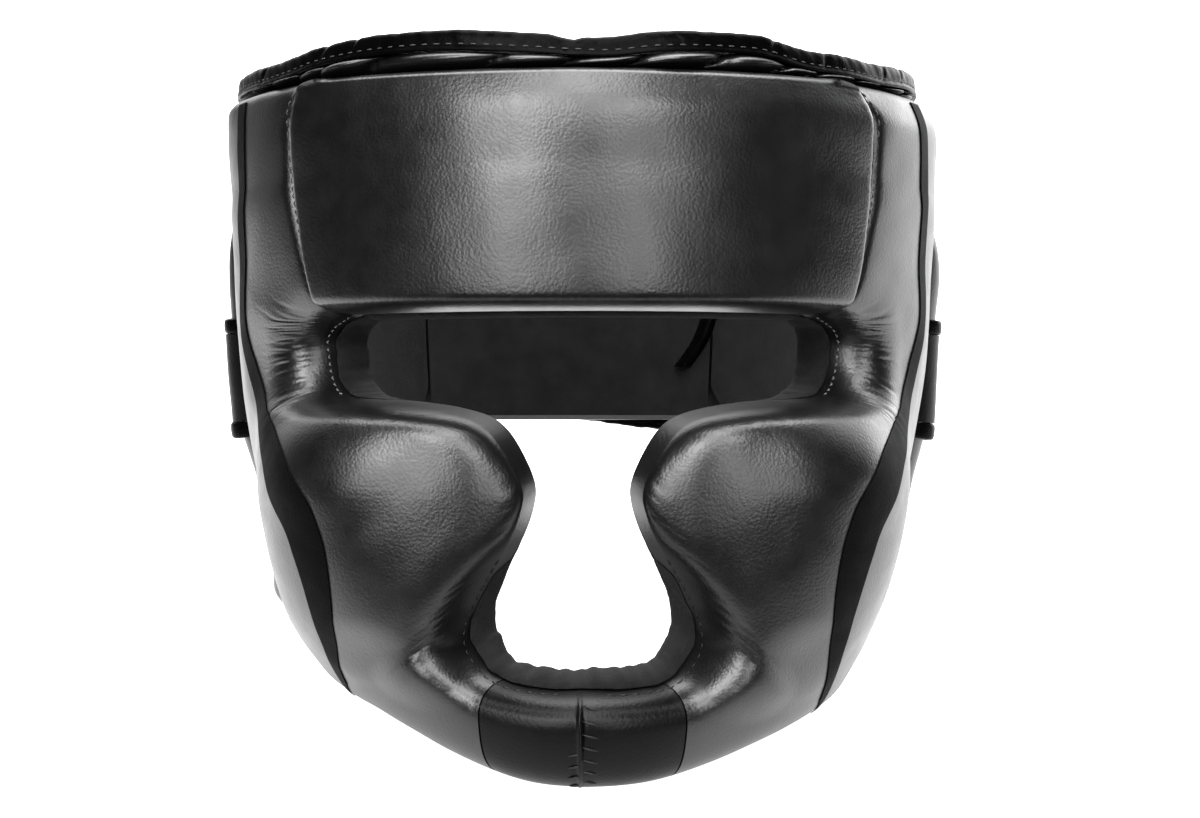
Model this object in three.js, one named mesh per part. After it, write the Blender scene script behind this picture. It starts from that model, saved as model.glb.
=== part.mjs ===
import * as THREE from 'three';

// A full-face padded head guard: foam pads in synthetic leather, laid round the wearer's head over a
// suede lining, open at the top, at the face and at the neck, and closed by a strap round the back.
//
// Sizes are in millimetres and angles in degrees. Pieces are laid out on the form of the head:
// around = angle from the middle of the face, positive to the viewer's right, 180 at the back
// height = above the middle of the eye slot
// lift = outwards from the form, which is the surface between the lining and the pads

// How the guard stands: it leans back until the chin and the two rear lobes share one floor.
const REST_TILT = 15;
const FLOOR_DEPTH = 83.3;
const BOX_MIDDLE_Y = 0.4;

// The form of the head, as ellipses at several heights, and how deep the pads are on it.
const HEAD_FORM = table(['height', 'half_width', 'front', 'back', 'front_pad', 'side_pad'], [
  [-120, 53, 89, 66, 20, 17],
  [-95, 62, 94, 76, 25, 21],
  [-70, 71, 97.5, 85, 26.5, 23],
  [-40, 80, 100, 92, 27, 24.5],
  [-10, 86, 102, 98, 26.5, 26],
  [20, 88.5, 103.5, 102, 27, 27],
  [50, 90, 104.5, 104, 27, 27],
  [76, 93, 105.5, 105, 25, 25.5],
  [92, 99, 108, 106, 21, 20],
  [104, 106, 111, 107, 14, 12],
  [116, 112, 115, 110, 8, 6],
]);
const REAR_PADS = table(['around', 'depth'], [
  [92, 34],
  [105, 36],
  [115, 34.5],
  [128, 28],
  [142, 20],
  [160, 15],
  [180, 14],
]);

// Seams: the gap between neighbours, and how high above the form each kind of edge is sewn.
const GAP = 0.4;
const SEAM_LIFT = 17;
const OPENING_LIFT = 9;
const TOP_LIFT = 6;
const REAR_LIFT = 8;

// Forehead pad: a rounded trapezoid, by the half angle that it spans at each height.
const FOREHEAD = table(['height', 'half_around'], [
  [30.5, 40.4],
  [33, 42.2],
  [37, 42.7],
  [48, 43.7],
  [66, 45.6],
  [84, 46.7],
  [96, 46.4],
  [100.5, 44.4],
  [102.5, 41.5],
]);
const FOREHEAD_SIDE_ROLL = 7;
const FOREHEAD_LOWER_ROLL = 8;
const FOREHEAD_UPPER_ROLL = 9;

// Side pad and chin panel: one skin from the temple to the middle of the chin, as sections that run
// from its front edge, round the face opening, to its rear edge, down the ear and along the jaw.
const SIDE_COLUMNS = [
  'at', 'front_around', 'front_height', 'rear_around', 'rear_height',
  'front_lift', 'front_roll', 'lining_show',
];
const SIDE_SECTIONS = table(SIDE_COLUMNS, [
  [0.00, 47.4, 102, 97, 101, 15, 9, 0],
  [0.10, 47.6, 84, 97, 84, 17, 7, 0],
  [0.19, 46.5, 66, 97, 66, 17, 7, 0],
  [0.28, 44.6, 48, 97, 47, 17, 7, 0],
  [0.34, 44.1, 35, 97, 32, 15, 10, 0],
  [0.38, 45.4, 27.4, 97, 21, 10, 14, 3],
  [0.43, 48.6, 16.6, 97, 6, 9, 17, 4.5],
  [0.47, 47.3, 7.8, 96.5, -10, 9, 16, 4.5],
  [0.51, 41.9, 4, 95.5, -32, 10, 9, 2.5],
  [0.56, 29.5, 2.1, 93, -62, 13, 7, 1],
  [0.60, 21.6, 0.3, 87, -80, 14, 7, 0.6],
  [0.63, 16.4, -2.2, 80, -86, 15, 8, 0.5],
  [0.66, 13.1, -6.3, 73, -89.5, 16, 11, 0.5],
  [0.69, 10.3, -13.9, 66, -92, 17, 13, 0.5],
  [0.72, 8.3, -22.8, 59, -94, 17, 14, 0.5],
  [0.75, 8.6, -30, 53, -95.5, 17, 14, 0.5],
  [0.78, 10.4, -38.5, 48, -96.5, 15, 12, 0.8],
  [0.82, 13.7, -47.7, 43, -98, 9, 9, 1.5],
  [0.86, 16.9, -57.6, 38, -99.5, 9, 9, 3],
  [0.89, 18.6, -64.2, 34, -101, 9, 9, 4.5],
  [0.92, 18.7, -70.9, 29, -103, 9, 9, 5],
  [0.95, 16.7, -76.9, 22.5, -106, 9, 10, 4.5],
  [1.00, 12.9, -82.5, 12.5, -110.5, 9, 10, 4],
  [1.05, 6.5, -84.4, 6.3, -112.6, 9, 10, 4],
  [1.10, 0.15, -84.2, 0.15, -113.3, 9, 10, 4],
]);
// The full cheek: how far it stands out at each angle, and what share of that it has at each height.
const CHEEK_ACROSS = table(['around', 'lift'], [
  [0, 0],
  [4, -1.5],
  [8, -3],
  [10, -2.8],
  [12, -1.7],
  [14, -0.1],
  [16, 1.6],
  [20, 5.2],
  [24, 8.7],
  [28, 12.1],
  [31, 14],
  [34, 15.2],
  [38, 15.8],
  [44, 14.8],
  [50, 12],
  [57, 7],
  [64, 2.5],
  [72, 0],
  [100, 0],
]);
const CHEEK_DOWN = table(['height', 'share'], [
  [-120, 0],
  [-105, 0],
  [-90, 0.16],
  [-80, 0.34],
  [-70, 0.54],
  [-60, 0.73],
  [-50, 0.88],
  [-40, 0.97],
  [-30, 1],
  [-20, 0.97],
  [-15, 0.89],
  [-10, 0.76],
  [-5, 0.58],
  [0, 0.36],
  [6, 0.12],
  [14, 0],
  [110, 0],
]);
// Soft swellings and hollows of the side skin: each is as high as its lift and fades out over its reach.
const SIDE_SWELLS = table(['place', 'around', 'height', 'reach', 'lift'], [
  ['behind the eye', 60, 15, 20, -2],
  ['mouth corner', 31, -70, 15, -2],
  ['beside the chin', 22, -80, 14, 2],
]);
const SIDE_PAD_TO = 0.996;
const CHIN_FROM = 1.0;
const CHIN_TO = 1.1;
const SIDE_TOP_ROLL = 12;
const SIDE_REAR_ROLL = 14;
const CHIN_SEAM_ROLL = 1.5;
const CHIN_SEAM_LIFT = 23;

// Black tape down each side pad, by the angle of its middle line and its width at each height.
const STRIPE_LINE = table(['height', 'around', 'width'], [
  [-100, 47, 8],
  [-77, 40.4, 9],
  [-58, 36.6, 10],
  [-47, 36.2, 10.5],
  [-34, 37.2, 11],
  [-26.6, 38.6, 11],
  [-17.6, 42.4, 10.5],
  [-11.7, 46, 10],
  [-5, 52, 9],
  [1.8, 58.5, 8],
  [10, 64, 7],
  [20, 67.4, 6.5],
  [53, 67, 6.5],
  [87, 64.6, 7],
  [104, 64.3, 7],
]);
const STRIPE_THICK = 0.8;
const STRIPE_FROM = 0.012;
const STRIPE_ENDS_AT = 0.79;
const STRIPE_LAST = 0.985;

// Lining: padded suede under the pads. Its edge stands a little way into the face opening as a soft roll,
// given by how far each of its points stands in, as a share of what shows, and by its lift.
const LINING_THICK = 5;
const LINING_GAP = 0.8;
const LINING_CLEAR = 1.3;
const LINING_TOP = 106;
const LINING_LOWEST = -106;
const LINING_ROLL = table(['stands_in', 'lift'], [
  [1, 0],
  [0.6, 5.5],
  [0, 5.5],
  [-0.02, -LINING_GAP],
]);
const SIDE_LINING_ACROSS = [0.2, 0.6, 1];
const BROW_SHOW = 2;
const BROW_LINING_HEIGHTS = [45, 66, 80, 88, 94, 100];

// Crown band: a gathered roll between the pads' top edges and the binding.
const CROWN_BOTTOM = 103.4;
const CROWN_TOP = 107;
const CROWN_LIFT = 8;
const CROWN_PUFF = 3;
const CROWN_PUFFS = 36;
const CROWN_LOWER_SHARE = 0.8;

// Binding tape round the rim of the open top, pinched at the middle of the front.
const BINDING_BOTTOM = 107.4;
const BINDING_TOP = 113.5;
const BINDING_INNER_LIFT = -6;
const BINDING_OUTER_LIFT = 4.5;
const BINDING_ROUND = 1.8;
const PINCH_DEPTH = 2.5;
const PINCH_HALF_AROUND = 5;

// Ear pads: from the side pad's rear edge to the back panel, with a lobe behind the jaw. The swell of
// each section is its share of the depth of the rear pads.
const EAR_COLUMNS = [
  'at', 'front_around', 'front_height', 'rear_drop', 'rear_height', 'swell_left', 'swell_right',
];
const EAR_SECTIONS = table(EAR_COLUMNS, [
  [0.00, 97.8, 102.8, 0, 102.8, 0.42, 0.42],
  [0.08, 97.8, 88, 0, 88, 0.76, 0.76],
  [0.17, 97.8, 72, 0, 73, 0.95, 0.95],
  [0.26, 97.8, 55, 0, 57, 1.03, 1.03],
  [0.40, 97.8, 30, 0, 34, 1, 1],
  [0.56, 97.6, 0, 0, 8, 0.97, 0.99],
  [0.65, 97, -18, 0.3, -8, 0.84, 0.94],
  [0.74, 96.2, -36, 0.6, -26, 0.84, 0.92],
  [0.82, 95.2, -52, 0.8, -44, 1.02, 0.86],
  [0.91, 93.6, -68, 0.92, -61, 1.02, 0.62],
  [1.00, 90.6, -84.5, 1, -83, 0.95, 0.66],
]);
const EAR_REAR_LEFT = 141;
const EAR_REAR_RIGHT = 149;
const EAR_REAR_LOW = 124;
const EAR_ROLL = 9;
const EAR_END_ROLL = 13;
const LOBE_RIBS = 3;
const LOBE_RIB_DEPTH = 1.6;
const LOBE_RIBS_FROM = 0.76;

// Back panel: across the back of the head between the ear pads.
const BACK_BOTTOM = -3;
const BACK_TOP = 102.8;
const BACK_ROLL = 8;
const SEAM_AROUND = 0.7;

// Closing strap round the back, by the height of its lower edge, with a bound edge above and below.
const STRAP_LINE = table(['around', 'lower'], [
  [99.5, -6],
  [150, -5],
  [168, -4.5],
  [180, -1.5],
  [200, 0],
  [240, -3],
  [260.5, -6],
]);
const STRAP_WIDTH = 33;
const STRAP_THICK = 2.5;
const STRAP_FROM = 99.5;
const STRAP_TO = 260.5;
const STRAP_LIFT = 1.6;
const STRAP_END_DIP = 2;
const STRAP_END_AROUND = 4;
const EDGE_THICK = 4;

// A short bound edge that lies inside, across the seam of the right ear pad and the back panel.
const FLAP_LINE = table(['along', 'around', 'height'], [
  [0, 149, 37],
  [0.5, 152, 25],
  [1, 156.5, 15],
]);
const FLAP_HALF_AROUND = 2;
const FLAP_THICK = 2.4;

// How many flat spans each piece has, along it and across it.
const FOREHEAD_SPANS = { up: 11, across: 16 };
const SIDE_SPANS = { along: 38, across: 11 };
const CHIN_SPANS = 4;
const STRIPE_SPANS = 24;
const LINING_SPANS = { along: 30, across: 12 };
const PUFF_SPANS = 3;
const BINDING_SPANS = 72;
const EAR_SPANS = { down: 16, across: 8 };
const BACK_SPANS = { up: 8, across: 10 };
const STRAP_SPANS = 24;
const STRAP_EDGE_SIDES = 4;
const FLAP_SPANS = 6;
const EDGE_SPANS = 84;
const HALVINGS = 30;

const CHARCOAL = material(0x2e2f33, 0.42);
const BLACK = material(0x0c0c0d, 0.35);
const GLOSS_BLACK = material(0x0a0a0b, 0.22);
const SUEDE = material(0x242426, 0.95);

function material(color, roughness) {
  return new THREE.MeshStandardMaterial({ color, roughness, metalness: 0 });
}

function table(columns, rows) {
  return Object.fromEntries(columns.map((name, k) => [name, rows.map((row) => row[k])]));
}

// A smooth curve through the rows of a table: column `name` read at value x of column `by`.
function along(rows, by, name, x) {
  const xs = rows[by];
  const ys = rows[name];
  const last = xs.length - 1;
  const slope = (k) => (ys[k + 1] - ys[k]) / (xs[k + 1] - xs[k]);
  const tangent = (k) => {
    if (k === 0) return slope(0);
    if (k === last) return slope(last - 1);
    const before = xs[k] - xs[k - 1];
    const after = xs[k + 1] - xs[k];
    return (slope(k - 1) * after + slope(k) * before) / (before + after);
  };
  let k = 0;
  while (k < last - 1 && x > xs[k + 1]) k += 1;
  const step = xs[k + 1] - xs[k];
  const t = (x - xs[k]) / step;
  const start = ys[k] * (2 * t ** 3 - 3 * t ** 2 + 1) + tangent(k) * step * (t ** 3 - 2 * t ** 2 + t);
  const end = ys[k + 1] * (3 * t ** 2 - 2 * t ** 3) + tangent(k + 1) * step * (t ** 3 - t ** 2);
  return start + end;
}

function headPoint(around, height) {
  const angle = THREE.MathUtils.degToRad(around);
  const s = Math.sin(angle);
  const c = Math.cos(angle);
  const length = along(HEAD_FORM, 'height', c > 0 ? 'front' : 'back', height);
  const radius = 1 / Math.hypot(s / along(HEAD_FORM, 'height', 'half_width', height), c / length);
  return new THREE.Vector3(radius * s, -radius * c, height);
}

// A point at a lift above the form, along the form's own normal there.
function onHead(around, height, lift) {
  const step = 0.1;
  const across = headPoint(around + step, height).sub(headPoint(around - step, height));
  const up = headPoint(around, height + step).sub(headPoint(around, height - step));
  const normal = across.cross(up).normalize();
  return headPoint(around, height).addScaledVector(normal, lift);
}

function padDepth(around, height) {
  const c = Math.cos(THREE.MathUtils.degToRad(around));
  const front = along(HEAD_FORM, 'height', 'front_pad', height);
  const side = along(HEAD_FORM, 'height', 'side_pad', height);
  return front * c ** 2 + side * (1 - c ** 2);
}

function rearDepth(around) {
  const fromFront = Math.abs(around);
  return along(REAR_PADS, 'around', 'depth', fromFront > 180 ? 360 - fromFront : fromFront);
}

// How far a rolled edge has come up at a distance in from its seam: a quarter of an ellipse.
function rise(distance, roll) {
  const left = 1 - Math.min(distance / roll, 1);
  return Math.sqrt(1 - left ** 2);
}

// From the wearer's head to the guard as it stands: leant back, set on the floor and flattened there.
function toRest(point) {
  const acrossHead = new THREE.Vector3(1, 0, 0);
  const leant = point.clone().applyAxisAngle(acrossHead, THREE.MathUtils.degToRad(-REST_TILT));
  return new THREE.Vector3(leant.x, leant.y - BOX_MIDDLE_Y, Math.max(leant.z + FLOOR_DEPTH, 0));
}

// A closed solid through a row of rings with an even number of points each. Open ends are closed by
// pairing the first half of the end ring with its second half.
function sweep(rings, closed = false) {
  const size = rings[0].length;
  const index = [];
  const quad = (a, b, c, d) => index.push(a, b, c, a, c, d);
  const spans = closed ? rings.length : rings.length - 1;
  for (let i = 0; i < spans; i += 1) {
    const here = i * size;
    const next = ((i + 1) % rings.length) * size;
    for (let j = 0; j < size; j += 1) {
      const k = (j + 1) % size;
      quad(here + j, next + j, next + k, here + k);
    }
  }
  if (!closed) {
    const end = (rings.length - 1) * size;
    for (let j = 0; j < size / 2 - 1; j += 1) {
      const far = size - 1 - j;
      quad(j, j + 1, far - 1, far);
      quad(end + far, end + far - 1, end + j + 1, end + j);
    }
  }
  const points = rings.flat().map(toRest);
  const volume = enclosed(points, index);
  const geometry = new THREE.BufferGeometry().setFromPoints(points);
  geometry.setIndex(volume > 0 ? index : index.reverse());
  geometry.computeVertexNormals();
  return geometry;
}

function enclosed(points, index) {
  let volume = 0;
  for (let k = 0; k < index.length; k += 3) {
    const [a, b, c] = [points[index[k]], points[index[k + 1]], points[index[k + 2]]];
    volume += a.dot(b.clone().cross(c)) / 6;
  }
  return volume;
}

function steps(from, to, count) {
  return Array.from({ length: count + 1 }, (_, k) => from + ((to - from) * k) / count);
}

// Positions from 0 to 1 that crowd towards both ends, where the edges roll over.
function crowded(count) {
  return steps(0, Math.PI, count).map((angle) => (1 - Math.cos(angle)) / 2);
}

function distanceTo(line, point) {
  const nearest = new THREE.Vector3();
  let best = Infinity;
  for (let k = 0; k + 1 < line.length; k += 1) {
    new THREE.Line3(line[k], line[k + 1]).closestPointToPoint(point, true, nearest);
    best = Math.min(best, nearest.distanceTo(point));
  }
  return best;
}

// A pad or lining panel over a patch of the form. place(u, v) is a spot { around, height }, skin and
// back give the lifts of its two faces there, told how far the spot is from each of its four edges.
function panel({ rows, columns, place, skin, back }) {
  const spots = rows.map((u) => columns.map((v) => place(u, v)));
  const feet = spots.map((row) => row.map((spot) => headPoint(spot.around, spot.height)));
  const firstColumn = feet.map((row) => row[0]);
  const lastColumn = feet.map((row) => row[row.length - 1]);
  const rings = spots.map((row, i) => {
    const measured = row.map((spot, j) => ({
      ...spot,
      u: rows[i],
      v: columns[j],
      fromFirstRow: distanceTo(feet[0], feet[i][j]),
      fromLastRow: distanceTo(feet[feet.length - 1], feet[i][j]),
      fromFirstColumn: distanceTo(firstColumn, feet[i][j]),
      fromLastColumn: distanceTo(lastColumn, feet[i][j]),
    }));
    const outside = measured.map((spot) => onHead(spot.around, spot.height, skin(spot)));
    const inside = measured.map((spot) => onHead(spot.around, spot.height, back(spot)));
    return [...outside, ...inside.reverse()];
  });
  return sweep(rings);
}

function mirrored(place, side) {
  return (u, v) => {
    const spot = place(u, v);
    return { around: spot.around * side, height: spot.height };
  };
}

function foreheadPad() {
  const lowest = FOREHEAD.height[0];
  const highest = FOREHEAD.height[FOREHEAD.height.length - 1];
  const sideRise = (spot) => rise(Math.min(spot.fromFirstColumn, spot.fromLastColumn), FOREHEAD_SIDE_ROLL);
  return panel({
    rows: crowded(FOREHEAD_SPANS.up).map((u) => lowest + (highest - lowest) * u),
    columns: crowded(FOREHEAD_SPANS.across).map((v) => 2 * v - 1),
    place: (height, v) => ({ around: v * along(FOREHEAD, 'height', 'half_around', height), height }),
    skin: (spot) => {
      const full = padDepth(spot.around, spot.height);
      const lower = rise(spot.fromFirstRow, FOREHEAD_LOWER_ROLL);
      const upper = rise(spot.fromLastRow, FOREHEAD_UPPER_ROLL);
      const side = SEAM_LIFT + (full - SEAM_LIFT) * sideRise(spot);
      const low = OPENING_LIFT + (side - OPENING_LIFT) * lower;
      return TOP_LIFT + (low - TOP_LIFT) * upper;
    },
    back: () => 0,
  });
}

function sidePlace(at, v) {
  const read = (name) => along(SIDE_SECTIONS, 'at', name, at);
  return {
    around: read('front_around') * (1 - v) + read('rear_around') * v,
    height: read('front_height') * (1 - v) + read('rear_height') * v,
  };
}

function swelling(around, height) {
  const here = headPoint(Math.abs(around), height);
  const standsOut = along(CHEEK_ACROSS, 'around', 'lift', Math.abs(around));
  const cheek = standsOut * along(CHEEK_DOWN, 'height', 'share', height);
  return SIDE_SWELLS.lift.reduce((sum, lift, k) => {
    const middle = headPoint(SIDE_SWELLS.around[k], SIDE_SWELLS.height[k]);
    const share = Math.min(here.distanceTo(middle) / SIDE_SWELLS.reach[k], 1);
    return sum + lift * (1 - share ** 2) ** 2;
  }, cheek);
}

// The side skin's lift, rolled over at the face opening, the rear edge and, for the side pad, the top.
function sideSkin(spot, topRise, chinRise) {
  const full = padDepth(spot.around, spot.height) + swelling(spot.around, spot.height);
  const frontLift = along(SIDE_SECTIONS, 'at', 'front_lift', spot.u);
  const frontRoll = along(SIDE_SECTIONS, 'at', 'front_roll', spot.u);
  const front = frontLift + (full - frontLift) * rise(spot.fromFirstColumn, frontRoll);
  const rear = REAR_LIFT + (front - REAR_LIFT) * rise(spot.fromLastColumn, SIDE_REAR_ROLL);
  const top = TOP_LIFT + (rear - TOP_LIFT) * topRise;
  return Math.min(top, CHIN_SEAM_LIFT + (top - CHIN_SEAM_LIFT) * chinRise);
}

function sidePad(side) {
  return panel({
    rows: steps(0, SIDE_PAD_TO, SIDE_SPANS.along),
    columns: crowded(SIDE_SPANS.across),
    place: mirrored(sidePlace, side),
    skin: (spot) => sideSkin(spot, rise(spot.fromFirstRow, SIDE_TOP_ROLL), 1),
    back: () => 0,
  });
}

function chinPanel(side) {
  return panel({
    rows: steps(CHIN_FROM, CHIN_TO, CHIN_SPANS),
    columns: crowded(SIDE_SPANS.across),
    place: mirrored(sidePlace, side),
    skin: (spot) => sideSkin(spot, 1, rise(spot.fromLastRow, CHIN_SEAM_ROLL)),
    back: () => 0,
  });
}

// Where the middle line of the stripe crosses a section of the side pad, as a share of the section.
function stripeCrossing(at) {
  let near = 0;
  let far = 1;
  for (let k = 0; k < HALVINGS; k += 1) {
    const middle = (near + far) / 2;
    const spot = sidePlace(at, middle);
    if (spot.around < along(STRIPE_LINE, 'height', 'around', spot.height)) near = middle;
    else far = middle;
  }
  return (near + far) / 2;
}

function stripe(side) {
  const edge = (v) => (at) => {
    const spot = sidePlace(at, v);
    return headPoint(spot.around, spot.height);
  };
  const topLine = crowded(SIDE_SPANS.across).map((v) => edge(v)(0));
  const frontLine = steps(0, CHIN_FROM, EDGE_SPANS).map(edge(0));
  const rearLine = steps(0, CHIN_FROM, EDGE_SPANS).map(edge(1));
  const place = (at, v) => {
    const middle = stripeCrossing(at);
    const width = along(STRIPE_LINE, 'height', 'width', sidePlace(at, middle).height);
    const span = edge(0)(at).distanceTo(edge(1)(at));
    return sidePlace(at, Math.min(middle + (v * width) / span, STRIPE_LAST));
  };
  const surface = (spot) => {
    const foot = headPoint(Math.abs(spot.around), spot.height);
    const here = {
      ...spot,
      fromFirstColumn: distanceTo(frontLine, foot),
      fromLastColumn: distanceTo(rearLine, foot),
    };
    return sideSkin(here, rise(distanceTo(topLine, foot), SIDE_TOP_ROLL), 1) + GAP;
  };
  return panel({
    rows: steps(STRIPE_FROM, STRIPE_ENDS_AT, STRIPE_SPANS),
    columns: [-0.5, 0, 0.5],
    place: mirrored(place, side),
    skin: (spot) => surface(spot) + STRIPE_THICK,
    back: surface,
  });
}

// Lining under a side pad and chin panel, down to just above the floor.
function sideLining(side) {
  const rollColumns = LINING_ROLL.stands_in.map((share) => -share);
  const show = (at) => Math.max(0, along(SIDE_SECTIONS, 'at', 'lining_show', at));
  const foot = (spot) => headPoint(spot.around, spot.height);
  const place = (at, v) => {
    const section = Math.max(at, 0);
    const span = foot(sidePlace(section, 0)).distanceTo(foot(sidePlace(section, 1)));
    const inOpening = (v * show(section) - LINING_CLEAR * Math.sign(show(section))) / span;
    const spot = sidePlace(section, rollColumns.includes(v) ? inOpening : v);
    return { around: spot.around, height: at < 0 ? LINING_TOP : Math.max(spot.height, LINING_LOWEST) };
  };
  return panel({
    rows: [-1, ...steps(0, CHIN_TO, LINING_SPANS.along)],
    columns: [...rollColumns, ...SIDE_LINING_ACROSS],
    place: mirrored(place, side),
    skin: (spot) => {
      const k = rollColumns.indexOf(spot.v);
      return k < 0 || show(spot.u) === 0 ? -LINING_GAP : LINING_ROLL.lift[k];
    },
    back: () => -LINING_THICK,
  });
}

function foreheadLining() {
  const lowest = FOREHEAD.height[0];
  const halfAround = (height) => along(FOREHEAD, 'height', 'half_around', Math.max(height, lowest));
  const top = FOREHEAD.height[FOREHEAD.height.length - 3];
  const roll = [lowest - BROW_SHOW, lowest - 2 * GAP, lowest - GAP];
  const rollLifts = [LINING_ROLL.lift[0], LINING_ROLL.lift[1], -LINING_GAP];
  return panel({
    rows: [...roll, ...BROW_LINING_HEIGHTS, LINING_TOP],
    columns: steps(-1, 1, LINING_SPANS.across),
    place: (height, v) => ({ around: v * halfAround(Math.min(height, top)), height }),
    skin: (spot) => rollLifts[roll.indexOf(spot.u)] ?? -LINING_GAP,
    back: () => -LINING_THICK,
  });
}

function crownBand() {
  const rings = steps(0, 360, CROWN_PUFFS * PUFF_SPANS).slice(0, -1).map((around) => {
    const wave = Math.abs(Math.sin(THREE.MathUtils.degToRad((around * CROWN_PUFFS) / 2)));
    const out = CROWN_LIFT + CROWN_PUFF * wave;
    const middle = (CROWN_BOTTOM + CROWN_TOP) / 2;
    return [
      onHead(around, CROWN_BOTTOM, 0),
      onHead(around, CROWN_BOTTOM, out * CROWN_LOWER_SHARE),
      onHead(around, middle, out),
      onHead(around, CROWN_TOP, 0),
    ];
  });
  return sweep(rings, true);
}

function rimBinding() {
  const rings = steps(-180, 180, BINDING_SPANS).slice(0, -1).map((around) => {
    const pinch = PINCH_DEPTH * Math.max(0, 1 - Math.abs(around) / PINCH_HALF_AROUND);
    const top = BINDING_TOP - pinch;
    return [
      onHead(around, BINDING_BOTTOM, BINDING_OUTER_LIFT),
      onHead(around, top - BINDING_ROUND, BINDING_OUTER_LIFT),
      onHead(around, top, BINDING_OUTER_LIFT - BINDING_ROUND),
      onHead(around, top, BINDING_INNER_LIFT + BINDING_ROUND),
      onHead(around, top - BINDING_ROUND, BINDING_INNER_LIFT),
      onHead(around, BINDING_BOTTOM, BINDING_INNER_LIFT),
    ];
  });
  return sweep(rings, true);
}

function earPad(side) {
  const rear = side > 0 ? EAR_REAR_RIGHT : EAR_REAR_LEFT;
  const swell = side > 0 ? 'swell_right' : 'swell_left';
  const read = (name, at) => along(EAR_SECTIONS, 'at', name, at);
  const place = (at, v) => {
    const rearAround = rear + (EAR_REAR_LOW - rear) * Math.max(0, read('rear_drop', at));
    return {
      around: read('front_around', at) * (1 - v) + rearAround * v,
      height: read('front_height', at) * (1 - v) + read('rear_height', at) * v,
    };
  };
  const rib = (at) => {
    if (side > 0 || at < LOBE_RIBS_FROM) return 0;
    const phase = ((at - LOBE_RIBS_FROM) / (1 - LOBE_RIBS_FROM)) * LOBE_RIBS;
    return -LOBE_RIB_DEPTH * Math.sin(Math.PI * phase) ** 2;
  };
  return panel({
    rows: steps(0, 1, EAR_SPANS.down),
    columns: crowded(EAR_SPANS.across),
    place: mirrored(place, side),
    skin: (spot) => {
      const full = rearDepth(spot.around) * read(swell, spot.u) + rib(spot.u);
      const sides = rise(Math.min(spot.fromFirstColumn, spot.fromLastColumn), EAR_ROLL);
      const ends = rise(Math.min(spot.fromFirstRow, spot.fromLastRow), EAR_END_ROLL);
      return REAR_LIFT + (full - REAR_LIFT) * sides * ends;
    },
    back: () => -LINING_THICK,
  });
}

function backPanel() {
  const right = EAR_REAR_RIGHT + SEAM_AROUND;
  const left = 360 - EAR_REAR_LEFT - SEAM_AROUND;
  return panel({
    rows: crowded(BACK_SPANS.up).map((u) => BACK_BOTTOM + (BACK_TOP - BACK_BOTTOM) * u),
    columns: crowded(BACK_SPANS.across).map((v) => right + (left - right) * v),
    place: (height, around) => ({ around, height }),
    skin: (spot) => {
      const full = rearDepth(spot.around);
      const sides = rise(Math.min(spot.fromFirstColumn, spot.fromLastColumn), BACK_ROLL);
      const ends = rise(Math.min(spot.fromFirstRow, spot.fromLastRow), BACK_ROLL);
      return TOP_LIFT + (full - TOP_LIFT) * sides * ends;
    },
    back: () => -LINING_THICK,
  });
}

// The outside of the rear pads under the strap, which dips into the seams at the strap's two ends.
function strapLift(around) {
  const end = Math.min(around - STRAP_FROM, STRAP_TO - around);
  return rearDepth(around) + STRAP_LIFT - STRAP_END_DIP * Math.max(0, 1 - end / STRAP_END_AROUND);
}

function backStrap() {
  return panel({
    rows: steps(STRAP_FROM, STRAP_TO, STRAP_SPANS),
    columns: [0, 0.5, 1],
    place: (around, v) => {
      const lower = along(STRAP_LINE, 'around', 'lower', around);
      return { around, height: lower + STRAP_WIDTH * v };
    },
    skin: (spot) => strapLift(spot.around) + STRAP_THICK,
    back: (spot) => strapLift(spot.around),
  });
}

function strapEdge(isUpper) {
  const rings = steps(STRAP_FROM, STRAP_TO, STRAP_SPANS).map((around) => {
    const lower = along(STRAP_LINE, 'around', 'lower', around);
    const offset = EDGE_THICK / 2 + GAP;
    const height = isUpper ? lower + STRAP_WIDTH + offset : lower - offset;
    const lift = strapLift(around) + EDGE_THICK / 2;
    return steps(0, 2 * Math.PI, STRAP_EDGE_SIDES).slice(0, -1).map((turn) => {
      const out = (Math.cos(turn) * EDGE_THICK) / 2;
      const up = (Math.sin(turn) * EDGE_THICK) / 2;
      return onHead(around, height + up, lift + out);
    });
  });
  return sweep(rings);
}

function flapBinding() {
  const inner = -LINING_THICK - GAP;
  const rings = steps(0, 1, FLAP_SPANS).map((part) => {
    const around = along(FLAP_LINE, 'along', 'around', part);
    const height = along(FLAP_LINE, 'along', 'height', part);
    return [
      onHead(around - FLAP_HALF_AROUND, height, inner),
      onHead(around + FLAP_HALF_AROUND, height, inner),
      onHead(around + FLAP_HALF_AROUND, height, inner - FLAP_THICK),
      onHead(around - FLAP_HALF_AROUND, height, inner - FLAP_THICK),
    ];
  });
  return sweep(rings);
}

const guard = new THREE.Group();

function add(name, geometry, finish) {
  const mesh = new THREE.Mesh(geometry, finish);
  mesh.name = name;
  guard.add(mesh);
}

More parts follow.
